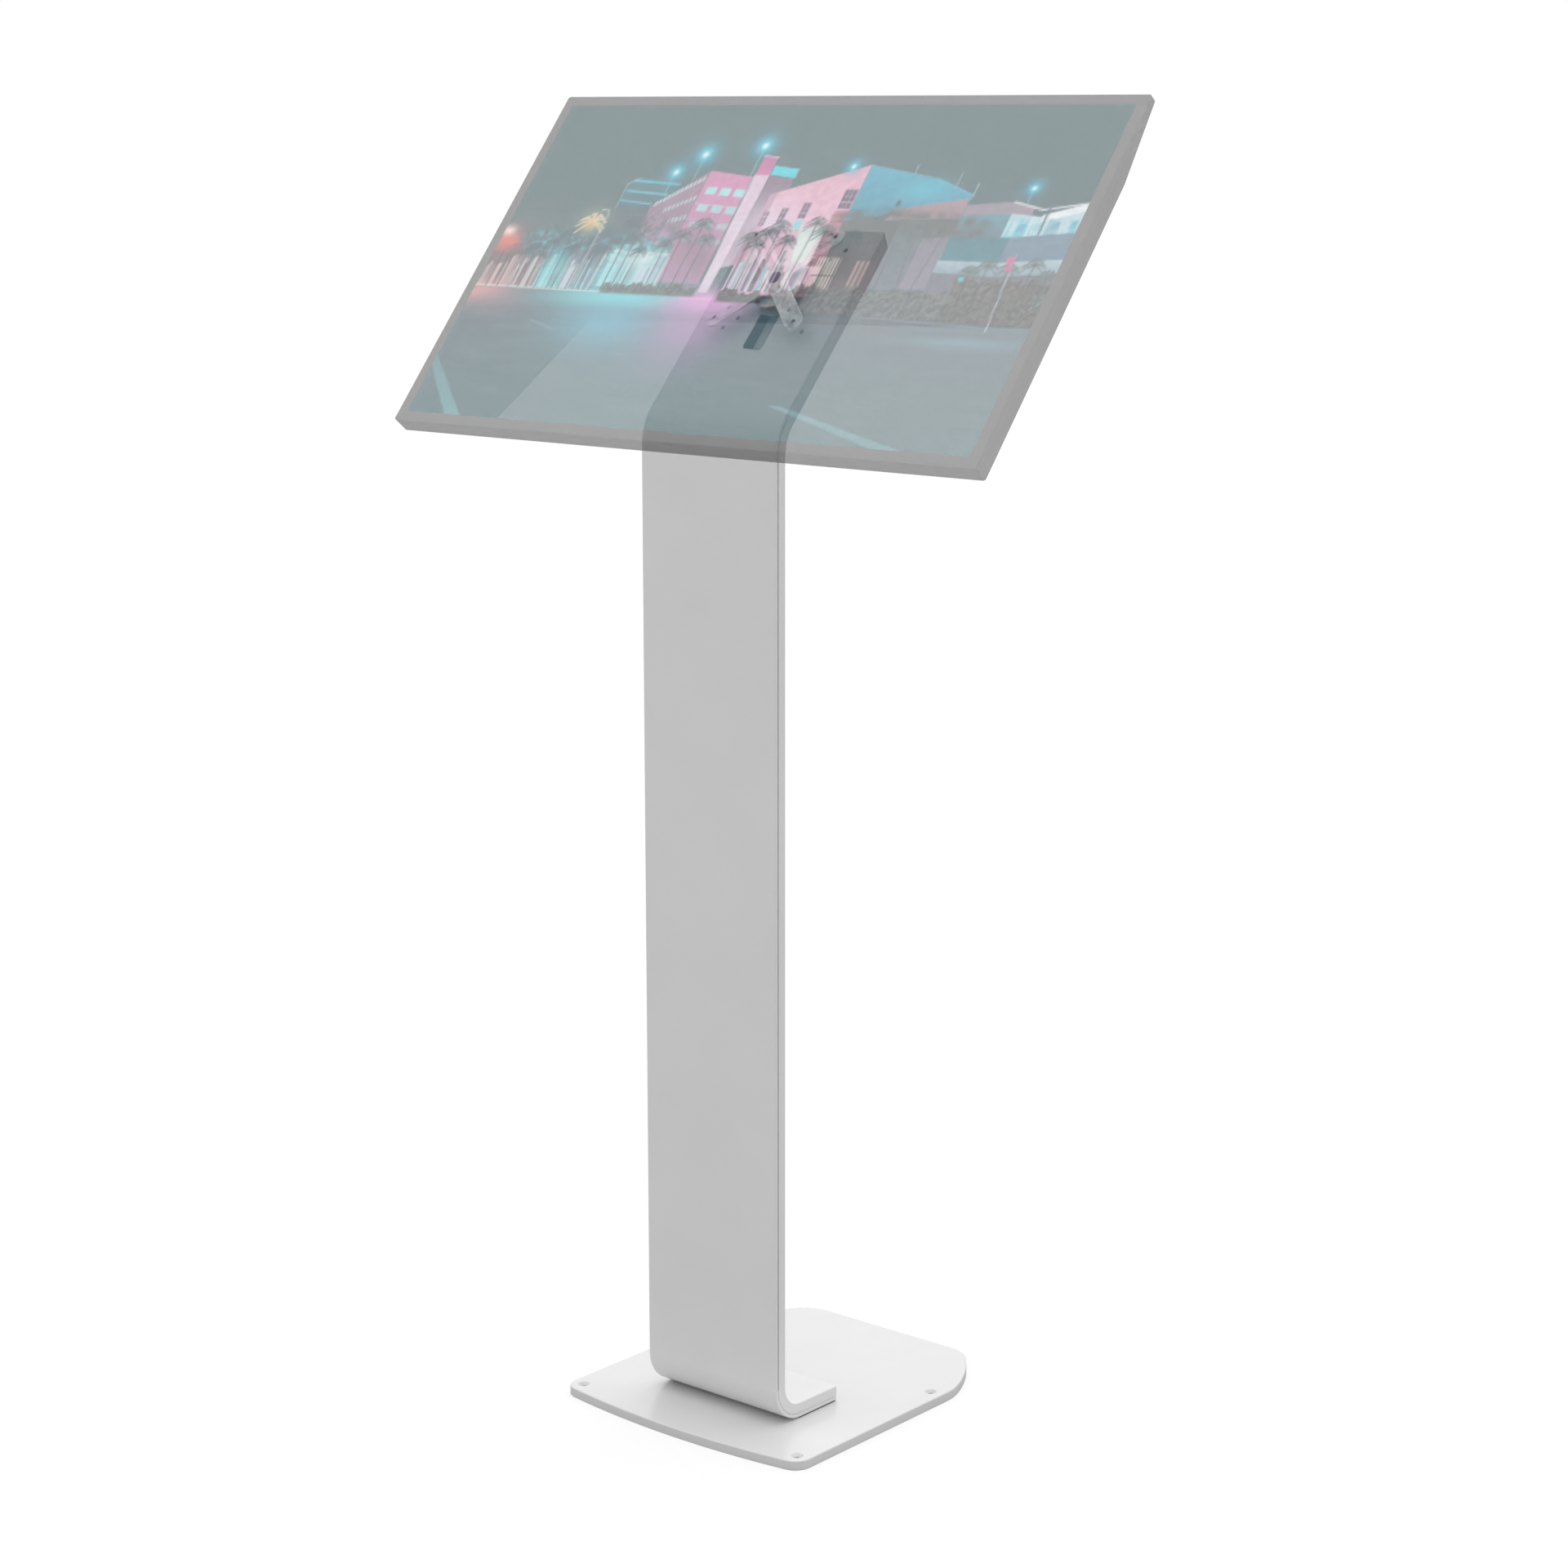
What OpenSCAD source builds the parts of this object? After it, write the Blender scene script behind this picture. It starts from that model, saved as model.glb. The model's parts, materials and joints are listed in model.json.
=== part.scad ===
// Touchscreen kiosk: a bent steel stand on a floor plate, with a tilting and
// turning mount that carries a 32 inch touch display. Sizes in millimetres.
// Origin: centre of the four floor holes, on the underside of the base plate.
// +X is to the right, +Y is to the back and +Z is up.

/* [Base plate] */
// Width of the base plate
base_w = 315; // [300:1:330]
// Thickness of the base plate
base_t = 10; // [8:0.5:12]
// How far the plate reaches in front of the column
base_front = 63.3; // [60:0.1:80]
// How far the back edge lies behind the column's front face
base_back = 288; // [284:1:300]
// Distance between floor holes, left to right
floor_pitch_x = 286; // [280:1:290]
// Distance between floor holes, front to back
floor_pitch_y = 213.5; // [210:0.5:216]
// How far the front floor holes lie in front of the column
floor_hole_front = 36.5; // [34:0.5:40]
// Diameter of the floor holes
floor_hole_d = 6.6; // [5.5:0.1:7]

/* [Stand] */
// Width of the column, the foot and the head
column_w = 170; // [165:1:175]
// Thickness of the bent front skin
skin_t = 4; // [3:0.5:4]
// Depth of the whole column, front skin and rear shell together
column_t = 15; // [15:0.5:18]
// Wall of the folded rear shell
shell_wall = 3; // [2:0.5:3]
// Height of the line where the column and head planes would meet
apex_h = 998.5; // [900:0.5:1050]
// Angle of the head above the horizontal
head_lean = 48.3; // [48:0.1:50]
// Length of the head's front face above the apex line
head_len = 245; // [244:1:260]
// Outer radius of the bend at the foot
foot_bend_r = 38; // [34:1:40]
// Outer radius of the bend at the head
head_bend_r = 60; // [50:1:62]
// Length of the foot behind the column's front face
foot_len = 95.7; // [94:0.1:110]

/* [Mount] */
// Distance of the turning axis from the apex line, up the head
hub_up = 170.5; // [168:0.5:174]
// Diameter of the turning disc
disc_d = 62; // [60:1:66]
// Hole pitch of the mounting plate for the display
vesa_pitch = 100; // [100]
// Hole pitch of the second, smaller pattern
vesa_small = 75; // [75]
// Width of the mounting plate's arms
arm_w = 20; // [18:1:22]

/* [Display] */
// Width of the display
display_w = 731; // [725:1:740]
// Height of the display
display_h = 411.6; // [408:0.1:416]
// Angle of the display above the horizontal
display_lean = 50.74; // [49:0.01:52]
// Thickness of the display at its sides and lower edge
rim_t = 19; // [18:0.5:20]
// Thickness of the display at its top edge
top_t = 7.6; // [7.4:0.1:8]
// How far the display's centre lies below the turning axis
display_drop = 10.3; // [8:0.1:12]

/* [Hidden] */
$fn = 64;

eps = 0.01;
gap = 0.05;              // running clearance on a radius
big = 2000;

// stand
column_y = floor_hole_front - floor_pitch_y / 2;
gasket_t = 1;
seam_t = 1;
foot_z = base_t + gasket_t;
shell_in = column_t - shell_wall;
head_turn = 90 - head_lean;
bend_run = head_bend_r * tan(head_turn / 2);
bend_z = apex_h - bend_run;
end_slant = 29;
hollow_w = column_w - 2 * shell_wall;
hollow_mid = (skin_t + shell_in) / 2;

// base plate outline, in the column's own Y
bow_r = 930;
front_r = 18;
side_r = 72;
side_a = 20.5;
flank_r = 202;
flank_a = 42.3;
back_r = 37.3;
side_c = [base_w / 2 - side_r, base_back - 102.6];
flank_c = side_c - (flank_r - side_r) * [cos(side_a), sin(side_a)];
back_c = flank_c + (flank_r - back_r) * [cos(flank_a), sin(flank_a)];

// fixings
foot_screw_x = 50;
foot_screw_y = [57, 83];
cable_hole_r = 15;
cable_hole_y = 66;
boss_x = 70;
boss_z = [150, 345, 540, 735, 930];
boss_v = [-105, 58];

// cable slot in the head, measured from the hub
slot_w = 24;
slot_v = [-74, -22.5];
slot_r = 4;

// mount stack, measured from the tilt axis along the display's normal
axis_n = 6;
hub_y = column_y + hub_up * cos(head_lean);
hub_z = apex_h + hub_up * sin(head_lean);
tilt_y = hub_y - axis_n * sin(head_lean);
tilt_z = hub_z + axis_n * cos(head_lean);
block_top = 3.6;
disc_rear = 4.4;
disc_front = 6.4;
plate_rear = 9.5;
plate_front = 12.5;
hub_bore_r = 7;
shoulder_r = 4;
ear_x = [9, 12.5];
ear_r = 3.3;
plate_screw = [12.4, 10.3];

// display layers, measured from the tilt axis along the display's normal
glass_w = 44.8;
glass_t = 2.6;
cover_wall = 1.2;
rim_rear = glass_w - rim_t;
top_rear = glass_w - top_t;
bezel_rear = 38.2;
tray_rear = 37.7;
tray = [715, 396];
corner_r = 2.5;
top_run = 88;
housing_w = 340;
housing_v = [-96, 76];
housing_rear = 14.5;
pad_half = 64;
socket_w = 20.8;
board_w = 31.8;
key_v = -190;
power_x = 318;
rocker_x = 288;
key_inner = rim_rear + cover_wall;
// sockets in the lower wall of the housing: place along X, width, height
sockets = [[-125, 14, 9], [74, 15.4, 6.4], [98, 15.4, 6.4], [121, 13.4, 6.2], [143, 13.4, 6.2]];

// ---- frames ----

module on_column() {
  translate([0, column_y, 0])
    children();
}

// origin at the hub on the head's front face, Y up the slope, Z out of it
module on_head() {
  translate([0, hub_y, hub_z])
    rotate([head_lean, 0, 0])
      children();
}

// origin on the tilt axis, Y up the display, Z towards the viewer
module on_display() {
  translate([0, tilt_y, tilt_z])
    rotate([display_lean, 0, 0])
      children();
}

// as on_display, with the origin at the display's centre
module on_panel() {
  on_display()
    translate([0, -display_drop, 0])
      children();
}

module four_corners(x, y) {
  for (sx = [-1, 1])
    for (sy = [-1, 1])
      translate([sx * x, sy * y, 0])
        children();
}

module both_sides(x) {
  for (s = [-1, 1])
    translate([s * x, 0, 0])
      children();
}

// ---- shared shapes ----

module rounded_rect(w, h, r) {
  square([w - 2 * r, h], center = true);
  square([w, h - 2 * r], center = true);
  for (sx = [-1, 1])
    for (sy = [-1, 1])
      translate([sx * (w / 2 - r), sy * (h / 2 - r)])
        circle(r);
}

module plate(w, h, r, z0, z1) {
  translate([0, 0, z0])
    linear_extrude(z1 - z0)
      rounded_rect(w, h, r);
}

module block(lo, hi) {
  translate(lo)
    cube(hi - lo);
}

module disc(r, z0, z1) {
  translate([0, 0, z0])
    cylinder(r = r, h = z1 - z0);
}

module ring(r_out, r_in, z0, z1) {
  difference() {
    disc(r_out, z0, z1);
    disc(r_in, z0 - 1, z1 + 1);
  }
}

// countersunk screw along -Z, its head flush at z_top
module flat_screw(r, head_r, z_tip, z_top) {
  disc(r, z_tip, z_top - head_r + r);
  translate([0, 0, z_top - head_r + r])
    difference() {
      cylinder(r1 = r, r2 = head_r, h = head_r - r);
      translate([0, 0, (head_r - r) / 3])
        cylinder(r = r * 0.62, h = head_r, $fn = 6);
    }
}

// hole for a countersunk screw whose head is flush at z_top
module flat_hole(r, head_r, z_low, z_top) {
  disc(r, z_low, z_top + 1);
  translate([0, 0, z_top - head_r + r])
    cylinder(r1 = r, r2 = head_r, h = head_r - r);
  disc(head_r, z_top - eps, z_top + 1);
}

// pan head screw along +Z, its head under z_seat
module pan_screw(r, head_r, head_h, z_seat, z_tip) {
  disc(r, z_seat, z_tip);
  difference() {
    disc(head_r, z_seat - head_h, z_seat);
    translate([0, 0, z_seat - head_h - eps])
      cylinder(r = r * 0.75, h = head_h * 0.6, $fn = 6);
  }
}

// ---- the bent sheet, drawn as a side profile ----
// A depth of 0 is the outer face and grows towards the inside of the bends.

module pie(centre, r_out, r_in, a0, a1) {
  translate(centre)
    intersection() {
      difference() {
        circle(r_out, $fn = 128);
        circle(r_in, $fn = 128);
      }
      polygon([
        [0, 0],
        2 * r_out * [cos(a0), sin(a0)],
        2 * r_out * [cos(a1), sin(a1)]
      ]);
    }
}

module foot_profile(d0, d1, end) {
  translate([foot_bend_r, foot_z + d0])
    square([foot_len - end - foot_bend_r, d1 - d0]);
}

module foot_bend_profile(d0, d1) {
  pie([foot_bend_r, foot_z + foot_bend_r], foot_bend_r - d0, foot_bend_r - d1, 180, 225);
  pie([foot_bend_r, foot_z + foot_bend_r], foot_bend_r - d0, foot_bend_r - d1, 225, 270);
}

module column_profile(d0, d1) {
  translate([d0, foot_z + foot_bend_r])
    square([d1 - d0, bend_z - foot_z - foot_bend_r]);
}

module head_bend_profile(d0, d1) {
  pie([head_bend_r, bend_z], head_bend_r - d0, head_bend_r - d1, 180 - head_turn, 180);
}

module head_profile(d0, d1, end) {
  translate([0, apex_h])
    rotate(head_lean)
      polygon([
        [bend_run, -d0],
        [head_len - end - d0 * tan(end_slant), -d0],
        [head_len - end - d1 * tan(end_slant), -d1],
        [bend_run, -d1]
      ]);
}

// the three middle stretches can start deeper than the foot and the head
module sheet_profile(d0, d1, end, mid_d0) {
  foot_profile(d0, d1, end);
  foot_bend_profile(d0, d1);
  column_profile(mid_d0, d1);
  head_bend_profile(mid_d0, d1);
  head_profile(d0, d1, end);
}

module swept(w) {
  on_column()
    rotate([90, 0, 90])
      translate([0, 0, -w / 2])
        linear_extrude(w)
          children();
}

// ---- base ----

module base_half() {
  polygon([
    [0, -base_front],
    [base_w / 2 - front_r, -base_front + 11],
    [base_w / 2, front_c_y()],
    [base_w / 2, side_c[1]],
    side_c + side_r * [cos(side_a), sin(side_a)],
    back_c + back_r * [cos(flank_a), sin(flank_a)],
    [back_c[0], back_c[1] + back_r],
    [0, back_c[1] + back_r]
  ]);
  translate([base_w / 2 - front_r, front_c_y()])
    circle(front_r);
  translate(side_c)
    circle(side_r, $fn = 128);
  translate(back_c)
    circle(back_r);
  pie(flank_c, flank_r, 20, side_a, flank_a);
}

function front_c_y() =
  bow_r - base_front - sqrt(pow(bow_r - front_r, 2) - pow(base_w / 2 - front_r, 2));

module base_outline() {
  for (m = [0, 1])
    mirror([m, 0])
      base_half();
  intersection() {
    translate([0, bow_r - base_front])
      circle(bow_r, $fn = 360);
    translate([-bow_r * sin(8.8), -base_front - 1])
      square([2 * bow_r * sin(8.8), base_front]);
  }
}

module foot_holes(r) {
  for (sx = [-1, 1])
    for (y = foot_screw_y)
      translate([sx * foot_screw_x, y, -1])
        cylinder(r = r, h = 40);
}

module cable_hole(r) {
  translate([0, cable_hole_y, -1])
    cylinder(r = r, h = base_t + gasket_t + skin_t + 2);
}

module base_plate() {
  color("gainsboro")
    difference() {
      on_column()
        linear_extrude(base_t)
          base_outline();
      four_corners(floor_pitch_x / 2, floor_pitch_y / 2)
        flat_hole(floor_hole_d / 2, 6.2, -1, base_t);
      on_column() {
        cable_hole(cable_hole_r);
        for (sx = [-1, 1])
          for (y = foot_screw_y)
            translate([sx * foot_screw_x, y, 0])
              mirror([0, 0, 1])
                flat_hole(4.2, 8.2, -base_t - 1, 0);
      }
    }
}

module foot_gasket() {
  color("black")
    on_column()
      difference() {
        block([-column_w / 2 + 1, foot_bend_r, base_t], [column_w / 2 - 1, foot_len - 1, foot_z]);
        foot_holes(4.5);
        cable_hole(cable_hole_r);
      }
}

module foot_block() {
  color("dimgray")
    on_column()
      difference() {
        block([-68, 47, foot_z + skin_t], [68, 91, foot_z + shell_in - 0.5]);
        foot_holes(4);
        block([-20, 40, 0], [20, 88, 40]);
      }
}

module foot_screws() {
  color("silver")
    on_column()
      for (sx = [-1, 1])
        for (y = foot_screw_y)
          translate([sx * foot_screw_x, y, 0])
            mirror([0, 0, 1])
              flat_screw(3.95, 8, -foot_z - shell_in + 1.5, 0);
}

module cable_grommet() {
  color("black")
    on_column()
      translate([0, cable_hole_y, 0])
        difference() {
          union() {
            disc(cable_hole_r - gap, 0.5, foot_z + skin_t);
            disc(17, foot_z + skin_t, foot_z + skin_t + 1.2);
          }
          disc(11, 0, foot_z + skin_t + 3);
          block([-9.5, -20, foot_z + skin_t - eps], [9.5, 0, foot_z + skin_t + 3]);
        }
}

// ---- column ----

// the screws that hold the rear shell, as places on the column and the head
module at_bosses() {
  for (sx = [-1, 1])
    for (z = boss_z)
      translate([sx * boss_x, column_y, z])
        rotate([90, 0, 0])
          children();
  on_head()
    for (sx = [-1, 1])
      for (v = boss_v)
        translate([sx * boss_x, v, 0])
          children();
}

module head_holes(r) {
  four_corners(vesa_pitch / 2, vesa_pitch / 2)
    disc(r, -20, 1);
  four_corners(vesa_small / 2, vesa_small / 2)
    disc(r, -20, 1);
}

module flange_holes(r) {
  for (a = [45:90:315])
    rotate(a)
      translate([26, 0, 0])
        disc(r, -20, 1);
}

module slot_shape(grow, z0, z1) {
  translate([0, (slot_v[0] + slot_v[1]) / 2, 0])
    plate(slot_w + 2 * grow, slot_v[1] - slot_v[0] + 2 * grow, slot_r + grow, z0, z1);
}

module front_skin() {
  color("whitesmoke")
    difference() {
      swept(column_w)
        sheet_profile(0, skin_t, 0, 0);
      on_column() {
        foot_holes(4.2);
        cable_hole(cable_hole_r);
      }
      on_head() {
        head_holes(2.5);
        flange_holes(2.2);
        slot_shape(0, -20, 1);
      }
    }
}

module rear_shell() {
  color("whitesmoke")
    difference() {
      swept(column_w)
        sheet_profile(skin_t, column_t, 0, skin_t + seam_t);
      swept(hollow_w)
        sheet_profile(skin_t - 1, shell_in, shell_wall, skin_t - 1);
      at_bosses()
        mirror([0, 0, 1])
          flat_hole(2.1, 4.2, 0, column_t);
    }
}

module seam_gasket() {
  color("black")
    difference() {
      swept(column_w - 3)
        seam_profile(0);
      swept(column_w - 12)
        seam_profile(eps);
    }
}

module seam_profile(grow) {
  column_profile(skin_t - grow, skin_t + seam_t + grow);
  head_bend_profile(skin_t - grow, skin_t + seam_t + grow);
}

module column_stiffeners() {
  color("dimgray")
    on_column()
      both_sides(50)
        block([-3, skin_t, 70], [3, shell_in - 0.2, bend_z - 10]);
}

module threaded_bosses() {
  color("silver")
    at_bosses()
      mirror([0, 0, 1])
        ring(5, 2, skin_t, shell_in - eps * 2);
}

module shell_screws() {
  color("silver")
    at_bosses()
      mirror([0, 0, 1])
        flat_screw(1.95, 4, skin_t + 1, column_t);
}

module head_block() {
  color("dimgray")
    on_head()
      difference() {
        block([-62, -60, -shell_in + 0.2], [62, 62, -skin_t]);
        head_holes(2);
        flange_holes(2);
        slot_shape(1, -20, 1);
      }
}

module slot_liner() {
  color("dimgray")
    on_head()
      difference() {
        slot_shape(-gap, -shell_in + gap, -0.3);
        slot_shape(-1.2, -shell_in - 1, 1);
      }
}

// ---- cables, along the middle of the hollow ----

module elbow(r_bend, r_wire, angle) {
  rotate_extrude(angle = angle)
    translate([r_bend, 0])
      circle(r_wire, $fn = 32);
}

// a length of cable along +Z, with a shrink sleeve over each of its ends
module straight(r_wire, length, sleeves) {
  cylinder(r = r_wire, h = length, $fn = 32);
  for (z = sleeves)
    translate([0, 0, z - 1.5])
      cylinder(r = r_wire + 0.4, h = 3, $fn = 48);
}

module wire(x, r_wire, head_end) {
  turn_r = 9;
  mid_z = foot_z + hollow_mid;
  rise = mid_z - turn_r - 0.5;
  run = cable_hole_y - turn_r - foot_bend_r;
  climb = bend_z - foot_z - foot_bend_r;
  on_column()
    translate([x, 0, 0]) {
      translate([0, cable_hole_y, 0.5])
        straight(r_wire, rise, [rise]);
      translate([0, cable_hole_y - turn_r, mid_z - turn_r])
        rotate([90, 0, 90])
          elbow(turn_r, r_wire, 90);
      translate([0, cable_hole_y - turn_r, mid_z])
        rotate([90, 0, 0])
          straight(r_wire, run, [0, run]);
      translate([0, foot_bend_r, foot_z + foot_bend_r])
        rotate([90, 0, 90])
          rotate(180)
            elbow(foot_bend_r - hollow_mid, r_wire, 90);
      translate([0, hollow_mid, foot_z + foot_bend_r])
        straight(r_wire, climb, [0, climb]);
      translate([0, head_bend_r, bend_z])
        rotate([90, 0, 90])
          rotate(180 - head_turn)
            elbow(head_bend_r - hollow_mid, r_wire, head_turn);
      translate([0, 0, apex_h])
        rotate([head_lean, 0, 0])
          translate([0, bend_run, -hollow_mid])
            rotate([-90, 0, 0])
              straight(r_wire, head_end - bend_run, [0]);
    }
}

module mains_cable() {
  color("black")
    wire(-4.6, 3.5, hub_up + slot_v[0] - 2);
}

module data_cable() {
  color("slategray")
    wire(4.6, 3, hub_up + slot_v[0] - 2);
}

module cable_clips() {
  color("black")
    on_column()
      for (z = [200, 430, 660, 890])
        translate([0, hollow_mid, z])
          difference() {
            block([-14, skin_t - hollow_mid, 0], [14, shell_in - 0.2 - hollow_mid, 12]);
            translate([-4.6, 0, -1])
              cylinder(r = 3.5 + gap, h = 14);
            translate([4.6, 0, -1])
              cylinder(r = 3 + gap, h = 14);
          }
}

// ---- tilting and turning mount ----

module pivot_flange() {
  color("silver")
    on_head()
      difference() {
        union() {
          disc(34, eps, 2.5);
          for (s = [0, 1])
            mirror([s, 0, 0])
              translate([ear_x[0], 0, 0])
                rotate([90, 0, 90])
                  linear_extrude(ear_x[1] - ear_x[0])
                    ear_outline();
        }
        disc(8.5, -1, 3);
        for (a = [45:90:315])
          rotate(a)
            translate([26, 0, 0])
              flat_hole(2.2, 4, -1, 2.5);
        translate([-20, 0, axis_n])
          rotate([0, 90, 0])
            cylinder(r = 2 + gap, h = 40);
      }
}

module ear_outline() {
  translate([0, axis_n])
    circle(ear_r);
  translate([-ear_r, 1])
    square([2 * ear_r, axis_n - 1]);
}

module flange_screws() {
  color("dimgray")
    on_head()
      for (a = [45:90:315])
        rotate(a)
          translate([26, 0, 0])
            flat_screw(1.95, 3.8, -shell_in + 1, 2.5);
}

module tilt_block() {
  color("silver")
    on_display()
      difference() {
        union() {
          disc(7, -4.5, block_top);
          block([-8.9, -9, 1.4], [8.9, 9, block_top]);
          translate([-8.9, 0, 0])
            rotate([0, 90, 0])
              cylinder(r = 3.2, h = 17.8);
        }
        disc(shoulder_r, -6, block_top + 1);
        for (s = [-1, 1])
          translate([s * 7.5, 0, 0])
            rotate([0, 90, 0])
              cylinder(r = 2, h = 5.6, center = true);
      }
}

module tilt_screws() {
  color("dimgray")
    on_display()
      for (s = [0, 1])
        mirror([s, 0, 0])
          rotate([0, 90, 0])
            difference() {
              union() {
                disc(1.98, 4.8, ear_x[1]);
                disc(3.3, ear_x[1] + gap, ear_x[1] + 2);
                disc(1.98, ear_x[1], ear_x[1] + 1);
              }
              translate([0, 0, ear_x[1] + 1])
                cylinder(r = 1.6, h = 2, $fn = 6);
            }
}

module friction_washer() {
  color("ivory")
    on_display()
      ring(14, shoulder_r + gap, block_top, disc_rear);
}

module hub_washer() {
  color("silver")
    on_display()
      ring(6.3, shoulder_r + gap, disc_front, disc_front + 0.8);
}

module hub_bolt() {
  color("dimgray")
    on_display()
      difference() {
        union() {
          disc(shoulder_r - gap, -4.5, block_top);
          disc(shoulder_r, block_top, disc_front + 0.8);
          disc(6.2, disc_front + 0.8, disc_front + 3.8);
        }
        translate([0, 0, disc_front + 1.8])
          cylinder(r = 2.9, h = 4, $fn = 6);
      }
}

module plate_screw_holes(r) {
  four_corners(plate_screw[0], plate_screw[1])
    disc(r, 0, 30);
}

module turn_disc() {
  color("silver")
    on_display()
      difference() {
        disc(disc_d / 2, disc_rear, disc_front);
        disc(shoulder_r + gap, 0, 20);
        plate_screw_holes(2);
      }
}

module spacer_ring() {
  color("silver")
    on_display()
      difference() {
        ring(20, hub_bore_r + 0.2, disc_front, plate_rear);
        plate_screw_holes(2);
      }
}

// four arms with rounded ends, and hollow corners between them
module spider_outline() {
  notch = 9;
  for (a = [45:90:315])
    rotate(a) {
      translate([0, -arm_w / 2])
        square([vesa_pitch / 2 * sqrt(2), arm_w]);
      translate([vesa_pitch / 2 * sqrt(2), 0])
        circle(arm_w / 2);
    }
  difference() {
    rotate(45)
      square(arm_w + 2 * notch, center = true);
    for (a = [0:90:270])
      rotate(a)
        translate([(arm_w / 2 + notch) * sqrt(2), 0])
          circle(notch);
  }
}

module vesa_plate() {
  color("gainsboro")
    on_display()
      difference() {
        translate([0, 0, plate_rear])
          linear_extrude(plate_front - plate_rear)
            spider_outline();
        disc(hub_bore_r, 0, 20);
        four_corners(vesa_pitch / 2, vesa_pitch / 2)
          disc(2.3, 0, 20);
        four_corners(vesa_small / 2, vesa_small / 2)
          disc(2.3, 0, 20);
        four_corners(plate_screw[0], plate_screw[1])
          flat_hole(2, 3.5, 0, plate_front);
      }
}

module plate_screws() {
  color("dimgray")
    on_display()
      four_corners(plate_screw[0], plate_screw[1])
        flat_screw(1.9, 3.3, disc_rear + 0.2, plate_front - 0.1);
}

module vesa_screws() {
  color("dimgray")
    on_display()
      four_corners(vesa_pitch / 2, vesa_pitch / 2)
        pan_screw(1.95, 3.8, 2.6, plate_rear, plate_front + 9);
}

// ---- display, casing ----

// the cover's outer form, or its inner form when it is drawn inset
module cover_form(inset) {
  top = display_h / 2;
  rear = rim_rear + inset;
  slope = (top_rear - rim_rear) / top_run;
  lip = top_rear + inset;
  intersection() {
    on_panel()
      plate(display_w - 2 * inset, display_h - 2 * inset, corner_r - inset, rear,
            bezel_rear + inset);
    on_panel()
      rotate([90, 0, 90])
        linear_extrude(big, center = true)
          polygon([
            [-top, rear],
            [top - top_run, rear],
            [top, lip],
            [top, lip + 20],
            [-top, lip + 20]
          ]);
  }
}

// the raised housing for the boards, with three sloping sides
module housing_form(inset) {
  half = housing_w / 2 - inset;
  low = housing_v[0] + inset;
  high = housing_v[1] - inset;
  rear = housing_rear + inset;
  front = rim_rear + cover_wall + 1;
  run = front - rear;
  on_display()
    intersection() {
      rotate([90, 0, 90])
        linear_extrude(big, center = true)
          polygon([[low, front], [low, rear], [high - run, rear], [high, front]]);
      rotate([90, 0, 0])
        linear_extrude(big, center = true)
          polygon([[-half, front], [-half + run, rear], [half - run, rear], [half, front]]);
    }
}

module pad_form(inset) {
  on_display()
    plate(2 * (pad_half - inset), 2 * (pad_half - inset), 8 - inset, plate_front + inset,
          housing_rear + cover_wall + 1);
}

module vent_row(v) {
  on_display()
    for (x = [-150:12:150])
      translate([x, v, rim_rear - 1])
        block([-2, -8, 0], [2, 8, cover_wall + 2]);
}

module rear_cover() {
  color("gray")
    difference() {
      union() {
        difference() {
          union() {
            cover_form(0);
            housing_form(0);
            pad_form(0);
          }
          cover_form(cover_wall);
          housing_form(cover_wall);
          pad_form(cover_wall);
        }
        rocker_lugs();
      }
      on_display() {
        four_corners(vesa_pitch / 2, vesa_pitch / 2)
          disc(2.3, 0, 30);
        translate([power_x, key_v, 0])
          disc(5, 0, 30);
        translate([rocker_x, key_v, rim_rear - 1])
          block([-11.6, -4.6, 0], [11.6, 4.6, cover_wall + 2]);
        for (s = sockets)
          translate([s[0], housing_v[0] - 1, socket_w])
            block([-s[1] / 2 - 0.3, 0, -s[2] / 2 - 0.3], [s[1] / 2 + 0.3, 5, s[2] / 2 + 0.3]);
        cover_screw_places()
          disc(1.6, 0, 40);
      }
      vent_row(90);
      vent_row(-118);
    }
}

module rocker_lugs() {
  on_display()
    translate([rocker_x, key_v, 0])
      for (s = [-1, 1])
        translate([0, s * 6.2, 0])
          difference() {
            block([-3, -0.9, key_inner - eps], [3, 0.9, key_inner + 4.2]);
            translate([0, 0, key_inner + 2.2])
              rotate([90, 0, 0])
                cylinder(r = 1, h = 4, center = true);
          }
}

module cover_screw_places() {
  translate([0, -display_drop, 0]) {
    for (x = [-240, 0, 240])
      translate([x, -display_h / 2 + 4.5, 0])
        children();
    for (sx = [-1, 1])
      for (y = [-90, 60])
        translate([sx * (display_w / 2 - 4.5), y, 0])
          children();
  }
}

// short self-tapping screws from the back into the bezel's bosses
module cover_screws() {
  color("dimgray")
    on_display()
      cover_screw_places()
        pan_screw(1.5, 2.8, 1.6, rim_rear, bezel_rear + 1.6);
}

module front_bezel() {
  wall = 1.5;
  color("gray")
    on_panel()
      difference() {
        union() {
          plate(display_w, display_h, corner_r, bezel_rear, glass_w);
          translate([0, display_drop, 0])
            cover_screw_places()
              disc(3, rim_rear + cover_wall, bezel_rear + eps);
        }
        plate(display_w - 2 * wall, display_h - 2 * wall, corner_r - wall, glass_w - glass_t,
              glass_w + 1);
        plate(721, 403, 2, bezel_rear - 1, glass_w);
        translate([0, display_drop, 0])
          cover_screw_places()
            disc(1.6, 0, bezel_rear + 2);
        block([-7, -display_h / 2 - 1, 39.4], [7, -display_h / 2 + 1.2, 42.2]);
      }
}

module status_lens() {
  color("darkslategray")
    on_panel()
      block([-6.9, -display_h / 2 + 0.1, 39.5], [6.9, -display_h / 2 + 1.2, 42.1]);
}

module touch_glass() {
  color("black")
    on_panel()
      plate(display_w - 3.2, display_h - 3.2, corner_r - 1.6, glass_w - glass_t + 0.02, glass_w);
}

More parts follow.
